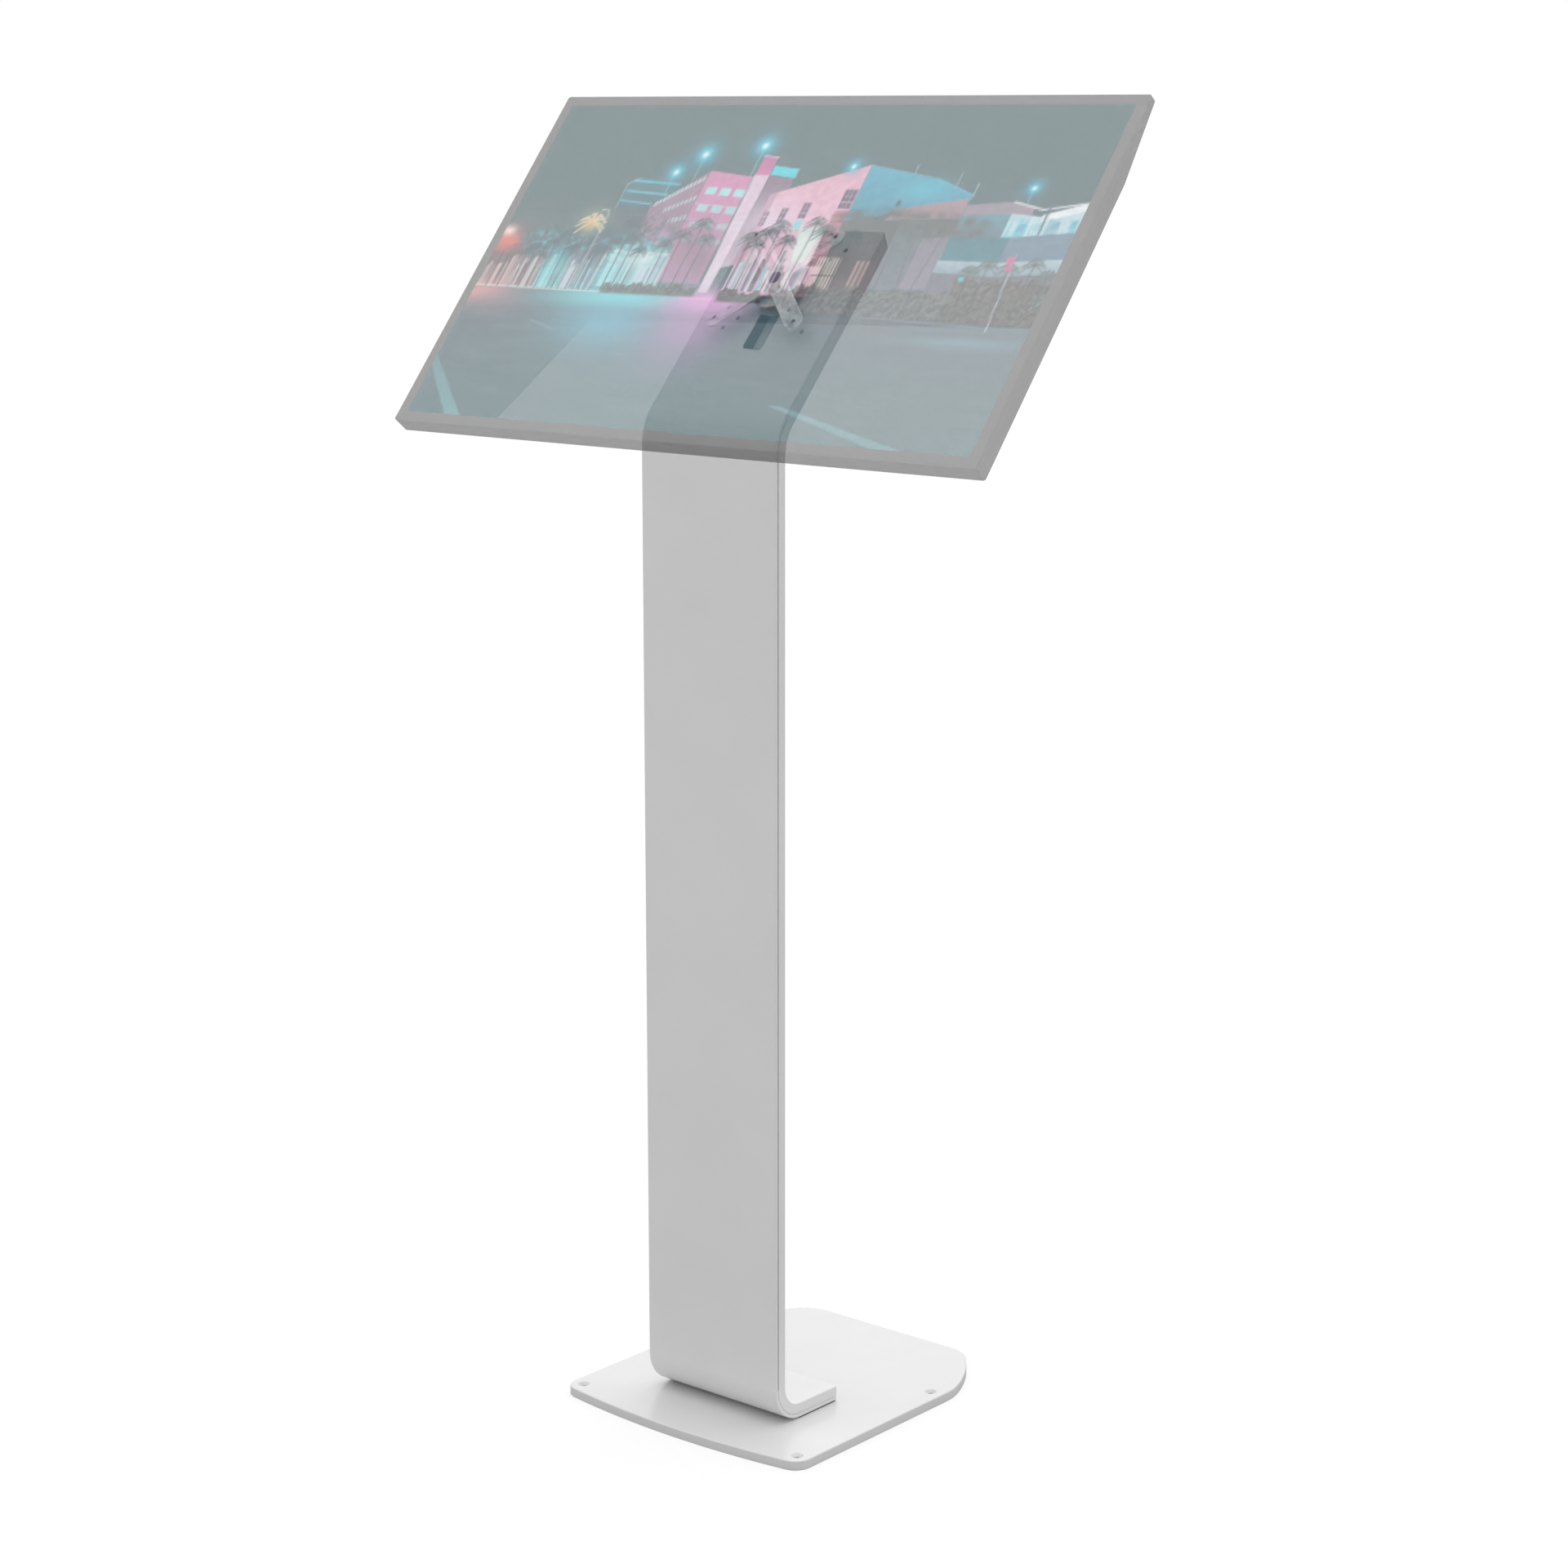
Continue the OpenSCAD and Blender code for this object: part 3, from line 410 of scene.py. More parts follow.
class Street:
    """A canvas in millimetres from the picture's lower left corner."""

    def __init__(self, width, height):
        self.columns = round(width / NET)
        self.rows = round(height / NET)
        self.width, self.height = width / MM, height / MM
        x = np.linspace(0, self.width, self.columns + 1)
        y = np.linspace(0, self.height, self.rows + 1)
        self.x, self.y = np.meshgrid(x, y)
        self.colour = np.zeros(self.x.shape + (3,))
        self.random = np.random.default_rng(SEED)
        self.soft = NET / MM * FADE

    def blend(self, cover, colour):
        """Lay a linear colour over the canvas, as strongly as cover says at each place."""
        self.colour += (np.broadcast_to(colour, self.colour.shape) - self.colour) * cover[..., None]

    def clouds(self, cell_x, cell_y):
        """Smooth noise from 0 to 1 with cells of this size."""
        nx, ny = int(self.width / cell_x) + 2, int(self.height / cell_y) + 2
        knots = self.random.random((ny + 1, nx + 1))
        fx, fy = self.x / cell_x, self.y / cell_y
        ix, iy = fx.astype(int), fy.astype(int)
        tx, ty = (v * v * (3 - 2 * v) for v in (fx - ix, fy - iy))
        low = knots[iy, ix] * (1 - tx) + knots[iy, ix + 1] * tx
        high = knots[iy + 1, ix] * (1 - tx) + knots[iy + 1, ix + 1] * tx
        return low * (1 - ty) + high * ty

    def to_line(self, a, b):
        """Distance to the stretch from a to b."""
        dx, dy = b[0] - a[0], b[1] - a[1]
        along = ((self.x - a[0]) * dx + (self.y - a[1]) * dy) / (dx * dx + dy * dy)
        along = np.clip(along, 0, 1)
        return np.hypot(self.x - a[0] - along * dx, self.y - a[1] - along * dy)

    def inside(self, points):
        """1 inside the outline, 0 outside, with a soft rim."""
        odd = np.zeros(self.x.shape, bool)
        nearest = np.full(self.x.shape, 1e9)
        for a, b in zip(points, points[1:] + points[:1]):
            nearest = np.minimum(nearest, self.to_line(a, b))
            if a[1] != b[1]:
                cross = a[0] + (self.y - a[1]) * (b[0] - a[0]) / (b[1] - a[1])
                odd ^= ((a[1] > self.y) != (b[1] > self.y)) & (self.x < cross)
        signed = np.where(odd, nearest, -nearest)
        return np.clip(0.5 + signed / self.soft, 0, 1)

    def wall(self, points, low, high=None, share=1.0, grain=0.16):
        """A filled outline, shaded from its foot to its top."""
        bottom, top = min(p[1] for p in points), max(p[1] for p in points)
        rise = np.clip((self.y - bottom) / (top - bottom), 0, 1)[..., None]
        shade = np.array(rgb(*low)) * (1 - rise) + np.array(rgb(*(high or low))) * rise
        mottle = 1 - grain / 2 + grain * self.clouds(5, 4)
        self.blend(self.inside(points) * share, shade * mottle[..., None])

    def box(self, x0, y0, x1, y1, low, high=None, share=1.0):
        """An upright wall."""
        self.wall([(x0, y0), (x1, y0), (x1, y1), (x0, y1)], low, high, share)

    def line(self, points, width, colour, share=1.0):
        """A line through the points."""
        for a, b in zip(points, points[1:]):
            cover = np.clip((width / 2 - self.to_line(a, b)) / self.soft + 0.5, 0, 1)
            self.blend(cover * share, rgb(*colour))

    def glow(self, x, y, across, up, colour, share):
        """A soft round light."""
        spread = ((self.x - x) / across) ** 2 + ((self.y - y) / up) ** 2
        self.blend(np.exp(-spread) * share, rgb(*colour))

    def row(self, start, step, count, width, height, colour, share=1.0):
        """A row of windows, its step sloping with the wall."""
        for k in range(count):
            x, y = start[0] + step[0] * k, start[1] + step[1] * k
            tilt = step[1] / step[0] * width if step[0] else 0
            self.wall([(x, y), (x + width, y + tilt), (x + width, y + tilt + height),
                       (x, y + height)], colour, share=share)

    def uprights(self, x0, x1, foot, top, colours, share):
        """Narrow uprights side by side: doors, windows, posts and the gaps between them."""
        x = x0
        while x < x1:
            wide = self.random.uniform(1.6, 4.4)
            reach = foot + (top - foot) * self.random.uniform(0.45, 1.0)
            colour = colours[self.random.integers(len(colours))]
            self.box(x, foot, x + wide, reach, colour, share=share)
            x += wide * self.random.uniform(0.8, 1.5)

    def palm(self, x, foot, top, reach, colour, trunk):
        """A palm: a leaning trunk and a full crown of drooping fronds."""
        lean = self.random.uniform(-3, 3)
        self.line([(x, foot), (x + lean, top)], 1.7, trunk, 0.8)
        self.glow(x + lean, top - reach * 0.1, reach * 0.55, reach * 0.45, colour, 0.5)
        for k in range(11):
            turn = math.radians(-25 + 23 * k + self.random.uniform(-7, 7))
            far = (x + lean + reach * math.cos(turn), top + reach * (0.75 * math.sin(turn) - 0.3))
            mid = (x + lean + reach * 0.55 * math.cos(turn), top + reach * 0.55 * math.sin(turn))
            self.line([(x + lean, top), mid, far], 1.7, colour, 0.75)

    def shrubs(self, x0, x1, y0, y1, colour, share=0.9):
        """A ragged band of leaves."""
        ragged = y1 + (self.clouds(6, 900) - 0.5) * 9 + (self.clouds(2.5, 900) - 0.5) * 4
        ends = np.clip((self.x - x0) / 4, 0, 1) * np.clip((x1 - self.x) / 4, 0, 1)
        cover = ends * np.clip(ragged - self.y, 0, 1) * np.clip((self.y - y0) / 3, 0, 1)
        leaves = np.array(rgb(*colour)) * (0.6 + 0.8 * self.clouds(2.5, 2.5))[..., None]
        self.blend(cover * share, leaves)

    def lamp(self, x, y, foot, size):
        """A street lamp: a pole with a halo around its light."""
        self.line([(x, foot), (x, y)], 0.9, (150, 215, 220), 0.7)
        self.glow(x, y, size * 2.2, size * 2.0, (20, 150, 175), 0.75)
        self.glow(x, y, size, size, (80, 215, 235), 0.9)
        self.glow(x, y, size * 0.4, size * 0.4, (235, 255, 255), 1.0)


# the street's ground line, and colours as they look on a display
KERB = 158
NIGHT_TEAL, PALE_CYAN, WHITE_CYAN = (46, 104, 116), (90, 200, 212), (196, 232, 232)
DARK_LEAF, DUSK_LEAF, PALM = (60, 82, 88), (88, 96, 94), (58, 92, 102)
PALE_FRONTS = ((186, 228, 230), (96, 200, 208), (216, 218, 226), (150, 150, 182), (60, 118, 132),
               (50, 84, 98), (44, 62, 78))
ROSE_FRONTS = ((190, 160, 162), (222, 196, 194), (140, 120, 128), (84, 78, 88), (64, 66, 78),
               (206, 210, 208))


def paint_sky(s):
    rise = (s.y / s.height)[..., None]
    low, high = np.array(rgb(70, 101, 107)), np.array(rgb(67, 101, 105))
    s.blend(np.ones_like(s.x), low * (1 - rise) + high * rise)
    s.blend(np.clip(s.clouds(90, 40) - 0.45, 0, 1) * 0.3, rgb(74, 104, 114))
    s.glow(8, 206, 60, 34, (136, 104, 106), 0.5)
    s.glow(180, 190, 150, 50, (66, 112, 122), 0.6)


def paint_left_block(s):
    s.wall([(136, 257), (136, 290), (150, 297), (207, 290), (207, 262)], NIGHT_TEAL, (34, 118, 130))
    for start, end, thick in (((143, 293), (206, 289), 2.6), ((141, 280), (196, 276), 2.4),
                              ((139, 268), (182, 264), 1.8)):
        s.line([start, end], thick, PALE_CYAN, 0.8)
    s.line([(137, 258), (137, 289), (150, 296)], 1.4, (150, 180, 190), 0.7)
    s.wall([(182, 262), (239, 306.5), (239, 170), (190, 170)], (140, 124, 146), (150, 122, 142))
    s.row((187, 261), (4.2, 2.9), 12, 2.2, 5.5, WHITE_CYAN, 0.75)
    s.row((203, 254), (4.4, 2.2), 8, 2.2, 5.5, WHITE_CYAN, 0.6)
    s.row((215, 240), (4.6, 1.4), 5, 2.4, 6, WHITE_CYAN, 0.6)
    s.wall([(239, 306.5), (296, 300), (296, 170), (239, 170)], (168, 132, 162), (208, 134, 178))
    for low, tall, share in ((277, 9, 0.9), (256, 9, 0.7), (237, 7, 0.5), (219, 7, 0.4)):
        s.row((245, low + 1), (19, -1.2), 3, 13, tall, (158, 226, 226), share)
    s.line([(239, 266), (296, 262)], 1.4, (170, 200, 210), 0.6)
    s.line([(239, 247), (296, 244)], 1.4, (180, 170, 196), 0.6)
    s.wall([(214, 232), (239, 226), (239, 166), (214, 168)], (196, 196, 222), (172, 130, 168), 0.8)


def paint_tower(s):
    s.wall([(314, 303), (350, 298), (350, 200), (314, 190)], (190, 168, 188), (120, 102, 126))
    s.wall([(317, 314), (350, 310), (350, 299), (317, 303)], (60, 200, 216), (66, 210, 224))
    s.wall([(297, 303), (316, 302), (313, 160), (301, 160)], (226, 220, 228), (216, 190, 212))
    for k in range(4):
        s.line([(299.5 + 4.4 * k, 302), (301.5 + 3.4 * k, 162)], 0.9, (196, 160, 196), 0.5)
    for k in range(20):
        s.line([(298, 164 + 7 * k), (316, 163.5 + 7 * k)], 0.9, (196, 164, 196), 0.4)
    s.wall([(298, 326.5), (316, 324.5), (315.5, 302), (298, 302)], (204, 112, 172), (190, 96, 150))
    s.line([(298, 326), (316, 324)], 1.4, (236, 196, 216), 0.8)


def paint_middle_block(s):
    s.wall([(330, 279), (437.5, 316.5), (437.5, 160), (330, 160)], (226, 190, 208), (222, 168, 190))
    s.glow(350, 246, 30, 22, (220, 204, 224), 0.75)
    s.wall([(330, 279), (338, 282), (338, 170), (330, 170)], (176, 130, 160), share=0.6)
    for x, y, wide, tall in ((334, 241, 6, 17), (354, 245, 8, 18), (378, 251, 9, 19),
                             (421, 264, 15, 23)):
        s.box(x, y, x + wide, y + tall, (98, 80, 112))
        for k in range(1, 3):
            s.line([(x + wide * k / 3, y), (x + wide * k / 3, y + tall)], 0.8, (214, 190, 210), 0.5)
            s.line([(x, y + tall * k / 3), (x + wide, y + tall * k / 3)], 0.8, (214, 190, 210), 0.5)
    s.box(378, 238, 387, 249, (120, 206, 214))
    s.uprights(330, 420, 164, 214, PALE_FRONTS, 0.75)
    s.wall([(388, 240), (421, 240), (411, 200), (398, 200)], (226, 238, 234), (196, 214, 214))
    s.glow(404, 216, 16, 22, (238, 246, 242), 0.7)
    s.box(420, 196, 437, 262, (160, 112, 130), (196, 128, 148))
    for k in range(8):
        s.line([(420, 200 + 8 * k), (437, 201 + 8 * k)], 1.2, (110, 74, 92), 0.6)
    s.wall([(437.5, 316.5), (525, 301.5), (572.5, 284), (575, 279), (495, 264), (437.5, 240)],
           (28, 140, 164), (34, 164, 190))
    s.glow(515, 288, 26, 12, (42, 186, 210), 0.6)
    s.line([(438, 315), (525, 300.5)], 1.4, (110, 150, 162), 0.7)
    s.line([(525, 300.5), (573, 283)], 1.2, (120, 190, 200), 0.6)
    s.box(489, 268, 494, 275, (20, 92, 116))
    s.wall([(437, 250), (505, 250), (505, 166), (437, 164)], (110, 100, 108), (78, 92, 94))
    for k in range(9):
        s.line([(431 + 3.2 * k, 168), (431 + 3.2 * k, 206)], 1.5, (232, 228, 214), 0.8)
    s.line([(431, 186), (458, 186)], 1.2, (90, 70, 70), 0.8)
    s.row((477, 172), (6, 0), 3, 3, 32, (206, 176, 168), 0.6)


def paint_right_block(s):
    s.wall([(492, 265), (572, 279), (572, 255), (486, 252)], (150, 128, 136), (164, 142, 150))
    s.wall([(572, 271.5), (625, 276.5), (650, 271.5), (650, 262), (572, 257)], (146, 136, 150))
    s.wall([(572, 259), (627, 263), (627, 234), (572, 234)], (92, 116, 128), (90, 150, 166))
    s.wall([(505, 250), (572, 255), (572, 172), (505, 172)], (112, 124, 138), (84, 104, 108))
    s.wall([(540, 232), (572, 236), (572, 174), (540, 174)], (142, 136, 154), (130, 124, 140), 0.8)
    s.wall([(627, 263), (662, 260), (707, 274), (712, 240), (640, 235), (627, 235)],
           (104, 190, 206), (210, 220, 226))
    s.wall([(662, 262), (707, 276), (710, 268), (664, 254)], (228, 234, 238), share=0.9)
    s.row((641, 243), (18, 1.5), 4, 9, 8, (64, 170, 190), 0.8)
    s.uprights(628, 708, 238, 262, ((214, 230, 234), (84, 190, 208), (140, 160, 176)), 0.5)
    s.line([(625, 276), (660, 268), (707, 276)], 1.8, (232, 236, 240), 0.8)
    s.wall([(570, 234), (638, 235), (638, 207), (571, 208)], (44, 126, 138), (52, 122, 134))
    s.wall([(638, 236), (712, 244), (712, 213), (638, 208)], (100, 132, 152), (112, 136, 156))
    s.wall([(570, 208), (640, 208), (712, 214), (712, 196), (640, 190), (570, 192)],
           (126, 154, 168), (176, 198, 206))
    s.wall([(570, 194), (640, 192), (712, 198), (712, 150), (570, 160)], (112, 118, 130))
    s.box(603, 184, 608, 190, (40, 196, 200))
    s.line([(667, 241), (667, 276)], 3, (60, 100, 116), 0.9)
    s.glow(700, 165, 4, 10, (80, 190, 215), 0.9)
    s.glow(676, 176, 3, 3, (226, 150, 120), 0.7)


def paint_left_street(s):
    s.box(0, KERB, 40, 200, (130, 118, 122), (104, 92, 98))
    s.box(40, KERB, 78, 204, (176, 152, 154), (120, 112, 120))
    s.box(78, KERB, 112, 206, (120, 200, 206), (60, 130, 142))
    s.box(112, KERB, 156, 208, (156, 162, 178), (96, 116, 130))
    s.box(156, KERB + 4, 240, 214, (176, 220, 222), (120, 196, 204))
    s.uprights(2, 76, KERB, 200, ROSE_FRONTS, 0.75)
    s.uprights(76, 160, KERB, 206, PALE_FRONTS, 0.6)
    s.uprights(156, 240, KERB + 4, 216, PALE_FRONTS, 0.55)
    s.line([(80, 184), (156, 186)], 2.2, (86, 150, 162), 0.5)
    s.line([(160, 206), (238, 203)], 3.0, (222, 238, 238), 0.7)
    s.line([(160, 192), (238, 190)], 2.2, (96, 168, 180), 0.6)
    s.glow(204, 198, 24, 13, (214, 234, 236), 0.7)
    s.glow(170, 178, 24, 12, (120, 214, 220), 0.55)
    s.glow(95, 180, 20, 12, (130, 214, 220), 0.45)
    s.glow(222, 176, 20, 10, (186, 196, 224), 0.4)
    leaves = np.clip(s.clouds(4, 3.5) * 2 - 0.6, 0, 1)
    reach = np.clip((s.x - 24) / 30, 0, 1) * np.clip((240 - s.x) / 16, 0, 1)
    s.blend(leaves * reach * np.exp(-(((s.y - 218) / 15) ** 2)) * 0.8, rgb(52, 108, 120))
    lit_leaves = np.clip(s.clouds(5, 3.5) * 2 - 0.9, 0, 1)
    s.blend(lit_leaves * reach * np.exp(-(((s.y - 214) / 13) ** 2)), rgb(70, 168, 178))
    high_leaves = leaves * np.exp(-(((s.y - 240) / 16) ** 2) - ((s.x - 184) / 40) ** 2)
    s.blend(high_leaves * 0.9, rgb(92, 96, 110))


def paint_trees(s):
    for x, top, reach in ((46, 200, 10), (60, 206, 12), (71, 198, 10), (82, 214, 13),
                          (99, 224, 15), (107, 206, 11), (126, 216, 13), (136, 204, 11),
                          (143, 226, 14), (151, 206, 11), (158, 216, 15), (173, 238, 18),
                          (186, 222, 14), (197, 206, 11), (230, 214, 12), (247, 226, 15),
                          (262, 240, 16), (276, 222, 14)):
        s.palm(x, KERB, top, reach, PALM, DARK_LEAF)
    s.glow(262, 216, 24, 26, (104, 96, 108), 0.55)
    s.glow(285, 196, 12, 20, (110, 100, 114), 0.5)
    s.glow(115, 244, 20, 16, (140, 148, 124), 0.5)
    s.palm(115, KERB, 240, 20, (226, 214, 170), (96, 92, 96))
    s.glow(114, 239, 6, 6, (220, 168, 100), 0.7)
    s.line([(121, 256), (129, 255), (132, 250), (132, 164)], 1.1, (190, 220, 215), 0.8)
    s.palm(14, KERB, 212, 18, (206, 104, 94), (84, 72, 80))
    s.palm(30, KERB, 204, 13, (110, 92, 98), (84, 78, 86))
    s.glow(10, 214, 17, 13, (226, 112, 98), 0.6)
    s.glow(6, 226, 9, 6, (250, 216, 206), 0.95)
    crown = np.clip(s.clouds(9, 7) * 1.3 + 0.2, 0, 1)
    for x, y, wide, tall in ((448, 252, 26, 12), (490, 254, 34, 13), (540, 248, 38, 16),
                             (585, 246, 26, 13)):
        spread = np.exp(-(((s.x - x) / wide) ** 2 + ((s.y - y) / tall) ** 2) ** 2)
        s.blend(spread * crown * 0.9, rgb(*DUSK_LEAF))
    for foot, top in (((537, 172), (530, 232)), ((554, 172), (562, 234)), ((512, 172), (508, 230))):
        s.line([foot, top], 1.6, (98, 100, 110), 0.7)
    for x, top, reach in ((333, 226, 14), (345, 218, 13), (355, 232, 15), (366, 240, 15),
                          (378, 224, 13), (404, 246, 14), (424, 236, 15), (441, 224, 16),
                          (456, 232, 14)):
        s.palm(x, KERB + 6, top, reach, DARK_LEAF, DARK_LEAF)
    s.shrubs(172, 300, 153, 167, DUSK_LEAF)
    s.shrubs(326, 388, 149, 164, DUSK_LEAF)
    s.shrubs(388, 600, 140, 172, (106, 110, 112), 0.8)
    s.shrubs(598, 712, 138, 188, (98, 98, 94), 0.85)
    for x, top in ((612, 196), (630, 203), (652, 200), (678, 206), (700, 194)):
        s.palm(x, KERB, top, 13, (92, 110, 108), (84, 88, 88))
    s.line([(654, 218), (660, 132)], 1.3, (176, 190, 200), 0.8)
    s.wall([(646, 214), (655, 216), (656, 197), (649, 200)], (196, 110, 150))


def paint_road(s):
    s.wall([(-9, -9), (720, -9), (720, KERB), (-9, KERB)], (70, 108, 113), (84, 104, 114), grain=0.05)
    s.wall([(182, 122), (720, 138), (720, -9), (124, -9)],
           (110, 134, 138), (114, 131, 139), 0.95, 0.03)
    s.glow(255, 80, 90, 60, (100, 138, 148), 0.5)
    for x, y, wide, tall, colour, share in (
            (8, 150, 44, 14, (226, 158, 158), 0.85), (40, 138, 40, 16, (122, 112, 120), 0.6),
            (205, 150, 90, 13, (116, 222, 230), 0.9), (205, 120, 66, 30, (98, 178, 200), 0.75),
            (318, 148, 44, 15, (232, 168, 222), 0.95), (312, 118, 46, 32, (176, 138, 184), 0.75),
            (300, 82, 40, 24, (136, 136, 160), 0.4), (640, 118, 64, 6, (126, 164, 176), 0.6),
            (470, 132, 76, 14, (118, 126, 132), 0.5)):
        s.glow(x, y, wide, tall, colour, share)
    streaks = s.clouds(34, 2.6) * 0.6 + s.clouds(70, 6) * 0.4
    near_kerb = np.clip((KERB - s.y) / 6, 0, 1)
    s.blend(np.clip(streaks - 0.5, 0, 1) * near_kerb * 0.14, rgb(150, 172, 180))
    s.blend(np.clip(0.45 - streaks, 0, 1) * near_kerb * 0.14, rgb(52, 78, 88))
    s.line([(0, KERB), (180, KERB - 2)], 2.2, (196, 208, 206), 0.85)
    s.line([(160, KERB - 3), (300, KERB - 6)], 1.6, (130, 196, 206), 0.6)
    s.line([(283, KERB - 5), (330, KERB - 5)], 3, (232, 170, 222), 0.7)
    s.line([(505, 141), (712, 134)], 1.6, (126, 132, 140), 0.7)
    s.wall([(-2, 71), (-2, 58), (56, -3), (78, -3)], (106, 164, 170), (92, 142, 148), 0.8)
    s.wall([(454, 38), (474, 37), (644, -3), (606, -3)], (124, 164, 168), (128, 172, 178), 0.75)
    s.line([(102, 118), (142, 107)], 1.4, (104, 160, 170), 0.6)
    s.line([(236, 84), (254, 83)], 1.2, (140, 160, 180), 0.6)


def paint_street(s):
    paint_sky(s)
    paint_left_block(s)
    paint_tower(s)
    paint_middle_block(s)
    paint_right_block(s)
    paint_left_street(s)
    paint_road(s)
    paint_trees(s)
    for x, y, foot, size in ((193, 304, 278, 7), (220, 326.5, 296, 8), (292, 338, 301, 8),
                             (416, 314, 311, 5), (639, 292, 277, 5)):
        s.lamp(x, y, foot, size)
    for x, foot, top in ((493, 306, 318), (550, 291, 308), (574, 282, 296)):
        s.line([(x, foot), (x, top)], 0.8, (140, 190, 200), 0.7)


def screen_picture():
    """A thin film on the glass that carries the picture the display is showing."""
    low, high = span("lcd_panel")
    front = span("touch_glass")[1][2]
    x0, v0 = low[0] + PICTURE_EDGE, low[1] + PICTURE_EDGE
    width, height = high[0] - low[0] - 2 * PICTURE_EDGE, high[1] - low[1] - 2 * PICTURE_EDGE
    street = Street(width, height)
    paint_street(street)
    across, up = street.columns + 1, street.rows + 1
    places = [at(x0 + x * MM, v0 + y * MM, front + FILM)
              for x, y in zip(street.x.ravel(), street.y.ravel())]
    faces = [(k, k + 1, k + 1 + across, k + across)
             for row in range(up - 1) for k in range(row * across, row * across + across - 1)]
    rim = [at(x0 + x, v0 + y, front + FILM_FOOT)
           for x, y in ((0, 0), (width, 0), (width, height), (0, height))]
    last = len(places)
    corners = (0, across - 1, across * up - 1, across * (up - 1))
    bottom = list(range(0, across))
    right = list(range(across - 1, across * up, across))
    top = list(range(across * up - 1, across * (up - 1) - 1, -1))
    left = list(range(across * (up - 1), -1, -across))
    for side, edge in enumerate((bottom, right, top, left)):
        faces.append(tuple(reversed(edge)) + (last + side, last + (side + 1) % 4))
    faces.append((last + 3, last + 2, last + 1, last))
    mesh = bpy.data.meshes.new("screen_picture")
    mesh.from_pydata(places + rim, [], faces)
    picture = mesh.color_attributes.new("picture", "FLOAT_COLOR", "POINT")
    values = np.ones((len(places) + 4, 4))
    painted = (street.colour * PICTURE_GAIN - PICTURE_BLACK).reshape(-1, 3)
    values[:last, :3] = np.clip(painted, 0, 1)
    values[last:, :3] = values[list(corners), :3]
    picture.data.foreach_set("color", values.astype(np.float32).ravel())
    piece = bpy.data.objects.new("screen_picture", mesh)
    scene.collection.objects.link(piece)
    mesh.materials.append(lit_picture())
    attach(piece, "display")


def lit_picture():
    """The picture glows evenly, with the faint grain of a matt screen over it."""
    t = Tree("lit_picture")
    shade = t.node("ShaderNodeAttribute", {"attribute_name": "picture"}).outputs["Color"]
    sparkle = t.ramp(t.noise(900, 2), 0.3, 0.7, 0.94, 1.06)
    light = t.node("ShaderNodeEmission", Color=shade, Strength=sparkle).outputs[0]
    t.links.new(ghosted(t, light, light), t.output.inputs["Surface"])
    return t.material


screen_picture()

# ---- floor, light and camera ----

FLOOR_HALF = 30
# The floor throws more light back than it shows the camera, so its own shadows stay faint.
FLOOR_LIT, FLOOR_SEEN, FLOOR_GLOW = tone(178), tone(124), 0.79
# The floor doesn't glow inside the four floor screw holes of the base plate.
FLOOR_PITCH_X, FLOOR_PITCH_Y = 286 * MM, 213.5 * MM
FLOOR_HOLE_R = 3.4 * MM
# Each lobe of light: its direction, where it starts and ends as a cosine, its strength.
CEILING_LIGHT = ((0.0, 0.174, 0.985), 0.6, 0.98, 0.92)
BRACKET_SOFTBOX = ((-0.632, -0.345, 0.694), 0.94, 0.985, 0.4)
BASE_PLATE_SOFTBOX = ((-0.61, 0.70, 0.37), 0.8, 0.97, 0.42)
ROOM_LIGHT = 0.775
WHITE = (1, 1, 1, 1)
CAMERA_AT = (2.0671, -2.4072, 1.2926)
CAMERA_DOWN, CAMERA_ROUND = math.radians(11.57), math.radians(40.15)
CAMERA_LENS = 75.2
# enough for a sight line through all the veiled pieces
MOST_VEILS = 64


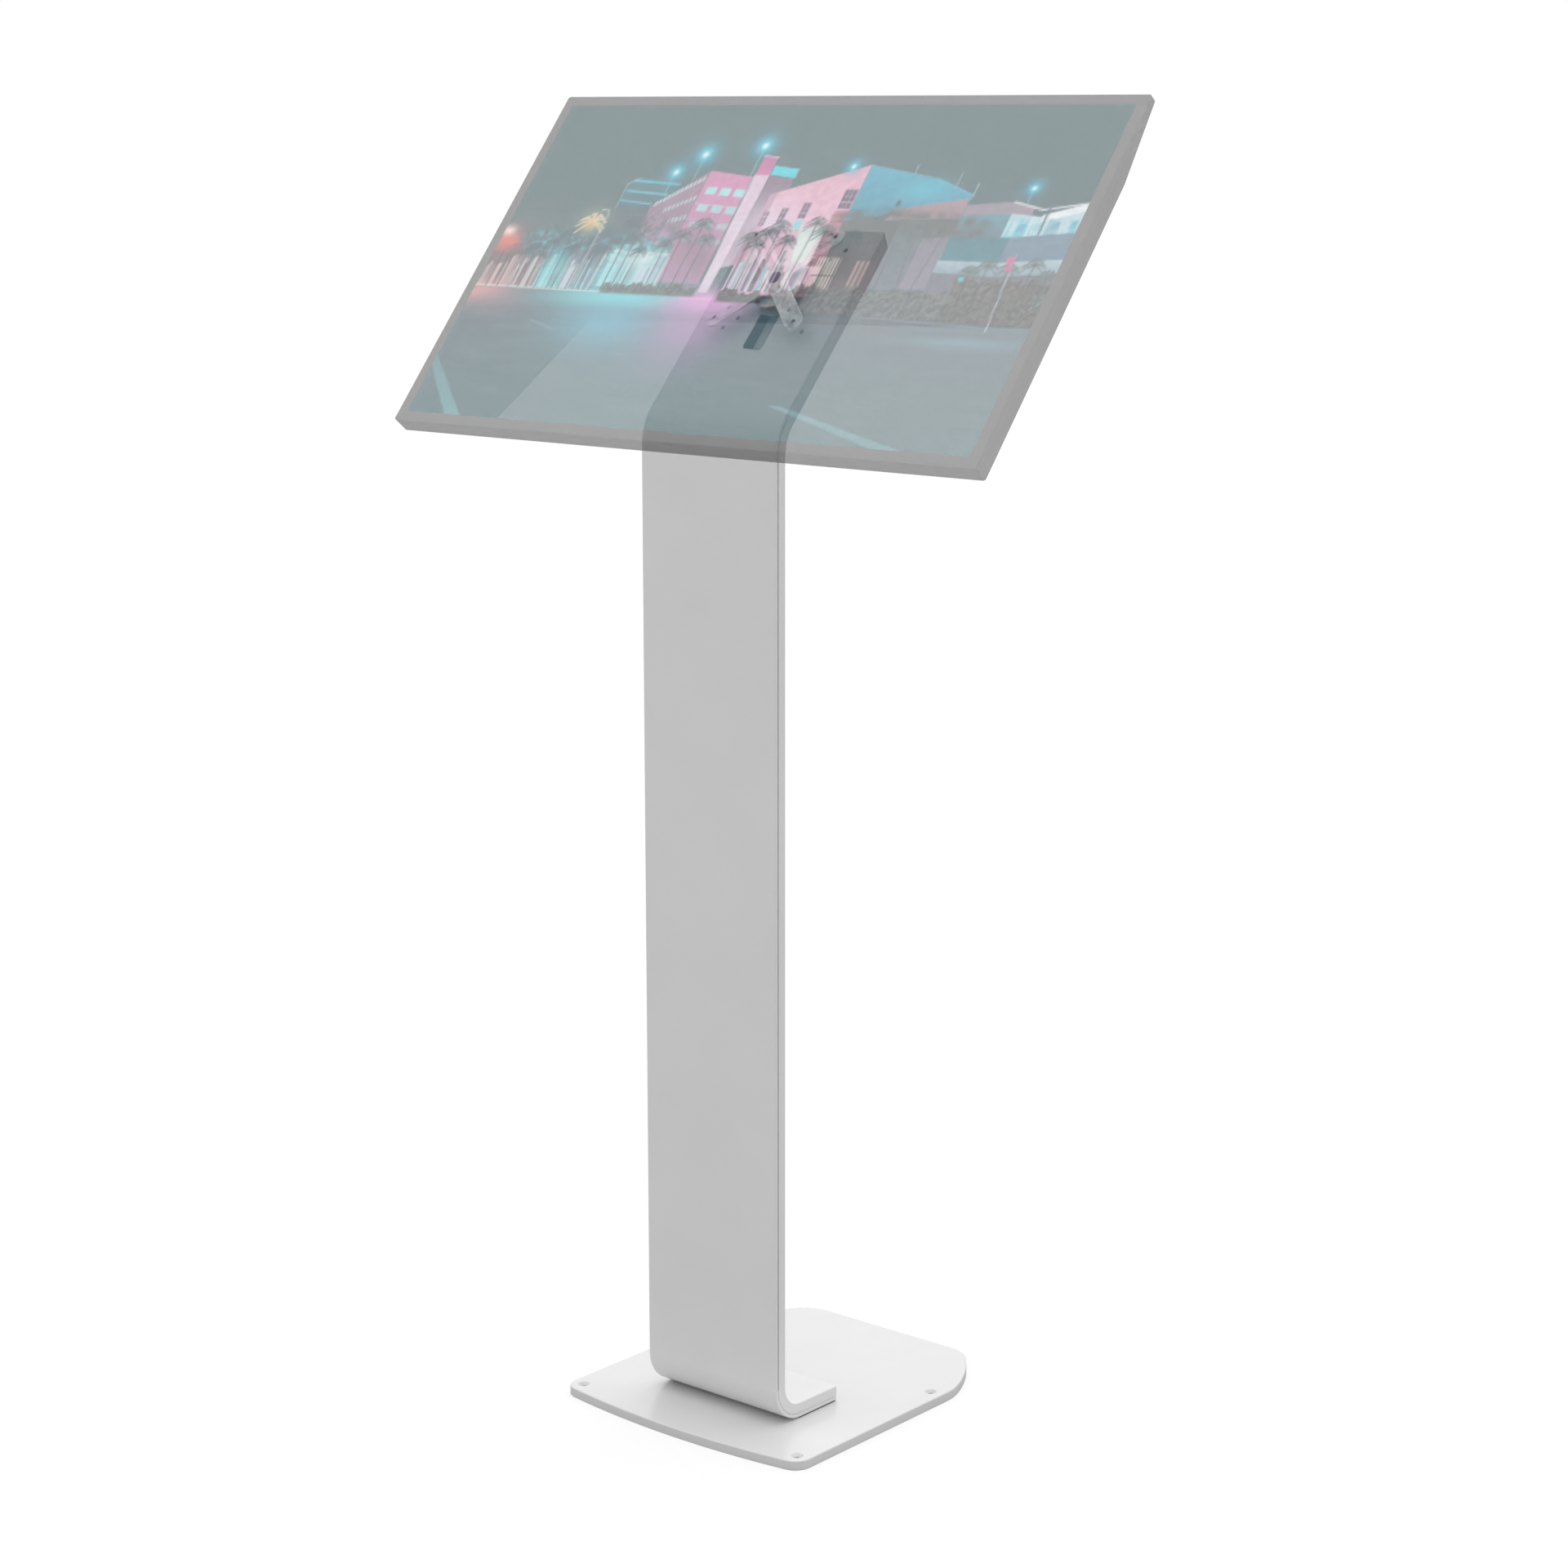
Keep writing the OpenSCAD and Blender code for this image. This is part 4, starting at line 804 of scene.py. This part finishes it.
def studio_floor():
    mesh = bpy.data.meshes.new("floor")
    corners = [(x * FLOOR_HALF, y * FLOOR_HALF, 0) for x, y in ((-1, -1), (1, -1), (1, 1), (-1, 1))]
    mesh.from_pydata(corners, [], [(0, 1, 2, 3)])
    floor = bpy.data.objects.new("floor", mesh)
    scene.collection.objects.link(floor)
    t = Tree("studio_floor")
    grain = t.ramp(t.noise(3, 4), 0.3, 0.7, 0.985, 1.0)
    seen = t.nodes.new("ShaderNodeLightPath").outputs["Is Camera Ray"]
    mirrored = t.node("ShaderNodeVectorMath", {"operation": "ABSOLUTE"}, Vector=t.place)
    away = t.node("ShaderNodeVectorMath", {"operation": "DISTANCE"})
    t.feed(away.inputs[0], mirrored.outputs[0])
    t.feed(away.inputs[1], (FLOOR_PITCH_X / 2, FLOOR_PITCH_Y / 2, 0))
    uncovered = t.maths("GREATER_THAN", away.outputs["Value"], FLOOR_HOLE_R)
    lit = t.maths("MULTIPLY", seen, uncovered)
    glow = t.maths("MULTIPLY", t.maths("MULTIPLY", grain, FLOOR_GLOW), lit)
    shade = t.surface(Base_Color=t.mix(seen, FLOOR_LIT, FLOOR_SEEN), Roughness=0.9,
                      Specular_IOR_Level=0.0, Emission_Color=(1, 1, 1), Emission_Strength=glow)
    t.links.new(shade, t.output.inputs["Surface"])
    mesh.materials.append(t.material)


def studio_world():
    """White for the camera. As light, an even room with three brighter lobes."""
    world = bpy.data.worlds.new("studio")
    scene.world = world
    world.use_nodes = True
    tree = world.node_tree
    tree.nodes.clear()
    add = tree.nodes.new
    way = add("ShaderNodeTexCoord").outputs["Generated"]
    total = None
    for direction, low, high, strength in (CEILING_LIGHT, BRACKET_SOFTBOX, BASE_PLATE_SOFTBOX):
        dot = add("ShaderNodeVectorMath")
        dot.operation = "DOT_PRODUCT"
        tree.links.new(way, dot.inputs[0])
        dot.inputs[1].default_value = direction
        lobe = add("ShaderNodeMapRange")
        lobe.interpolation_type = "SMOOTHSTEP"
        tree.links.new(dot.outputs["Value"], lobe.inputs[0])
        for index, value in enumerate((low, high, 0.0, strength)):
            lobe.inputs[index + 1].default_value = value
        summed = add("ShaderNodeMath")
        tree.links.new(lobe.outputs[0], summed.inputs[0])
        if total is None:
            summed.inputs[1].default_value = ROOM_LIGHT
        else:
            tree.links.new(total, summed.inputs[1])
        total = summed.outputs[0]
    level = add("ShaderNodeMix")
    tree.links.new(add("ShaderNodeLightPath").outputs["Is Camera Ray"], level.inputs["Factor"])
    tree.links.new(total, level.inputs[2])
    level.inputs[3].default_value = 1.0
    back = add("ShaderNodeBackground")
    tree.links.new(level.outputs[0], back.inputs["Strength"])
    back.inputs["Color"].default_value = WHITE
    tree.links.new(back.outputs[0], add("ShaderNodeOutputWorld").inputs["Surface"])


studio_floor()
studio_world()

camera = bpy.data.objects.new("camera", bpy.data.cameras.new("camera"))
scene.collection.objects.link(camera)
camera.location = CAMERA_AT
camera.rotation_euler = (math.pi / 2 - CAMERA_DOWN, 0, CAMERA_ROUND)
camera.data.lens = CAMERA_LENS
scene.camera = camera
scene.view_settings.view_transform = "Standard"
scene.cycles.transparent_max_bounces = MOST_VEILS
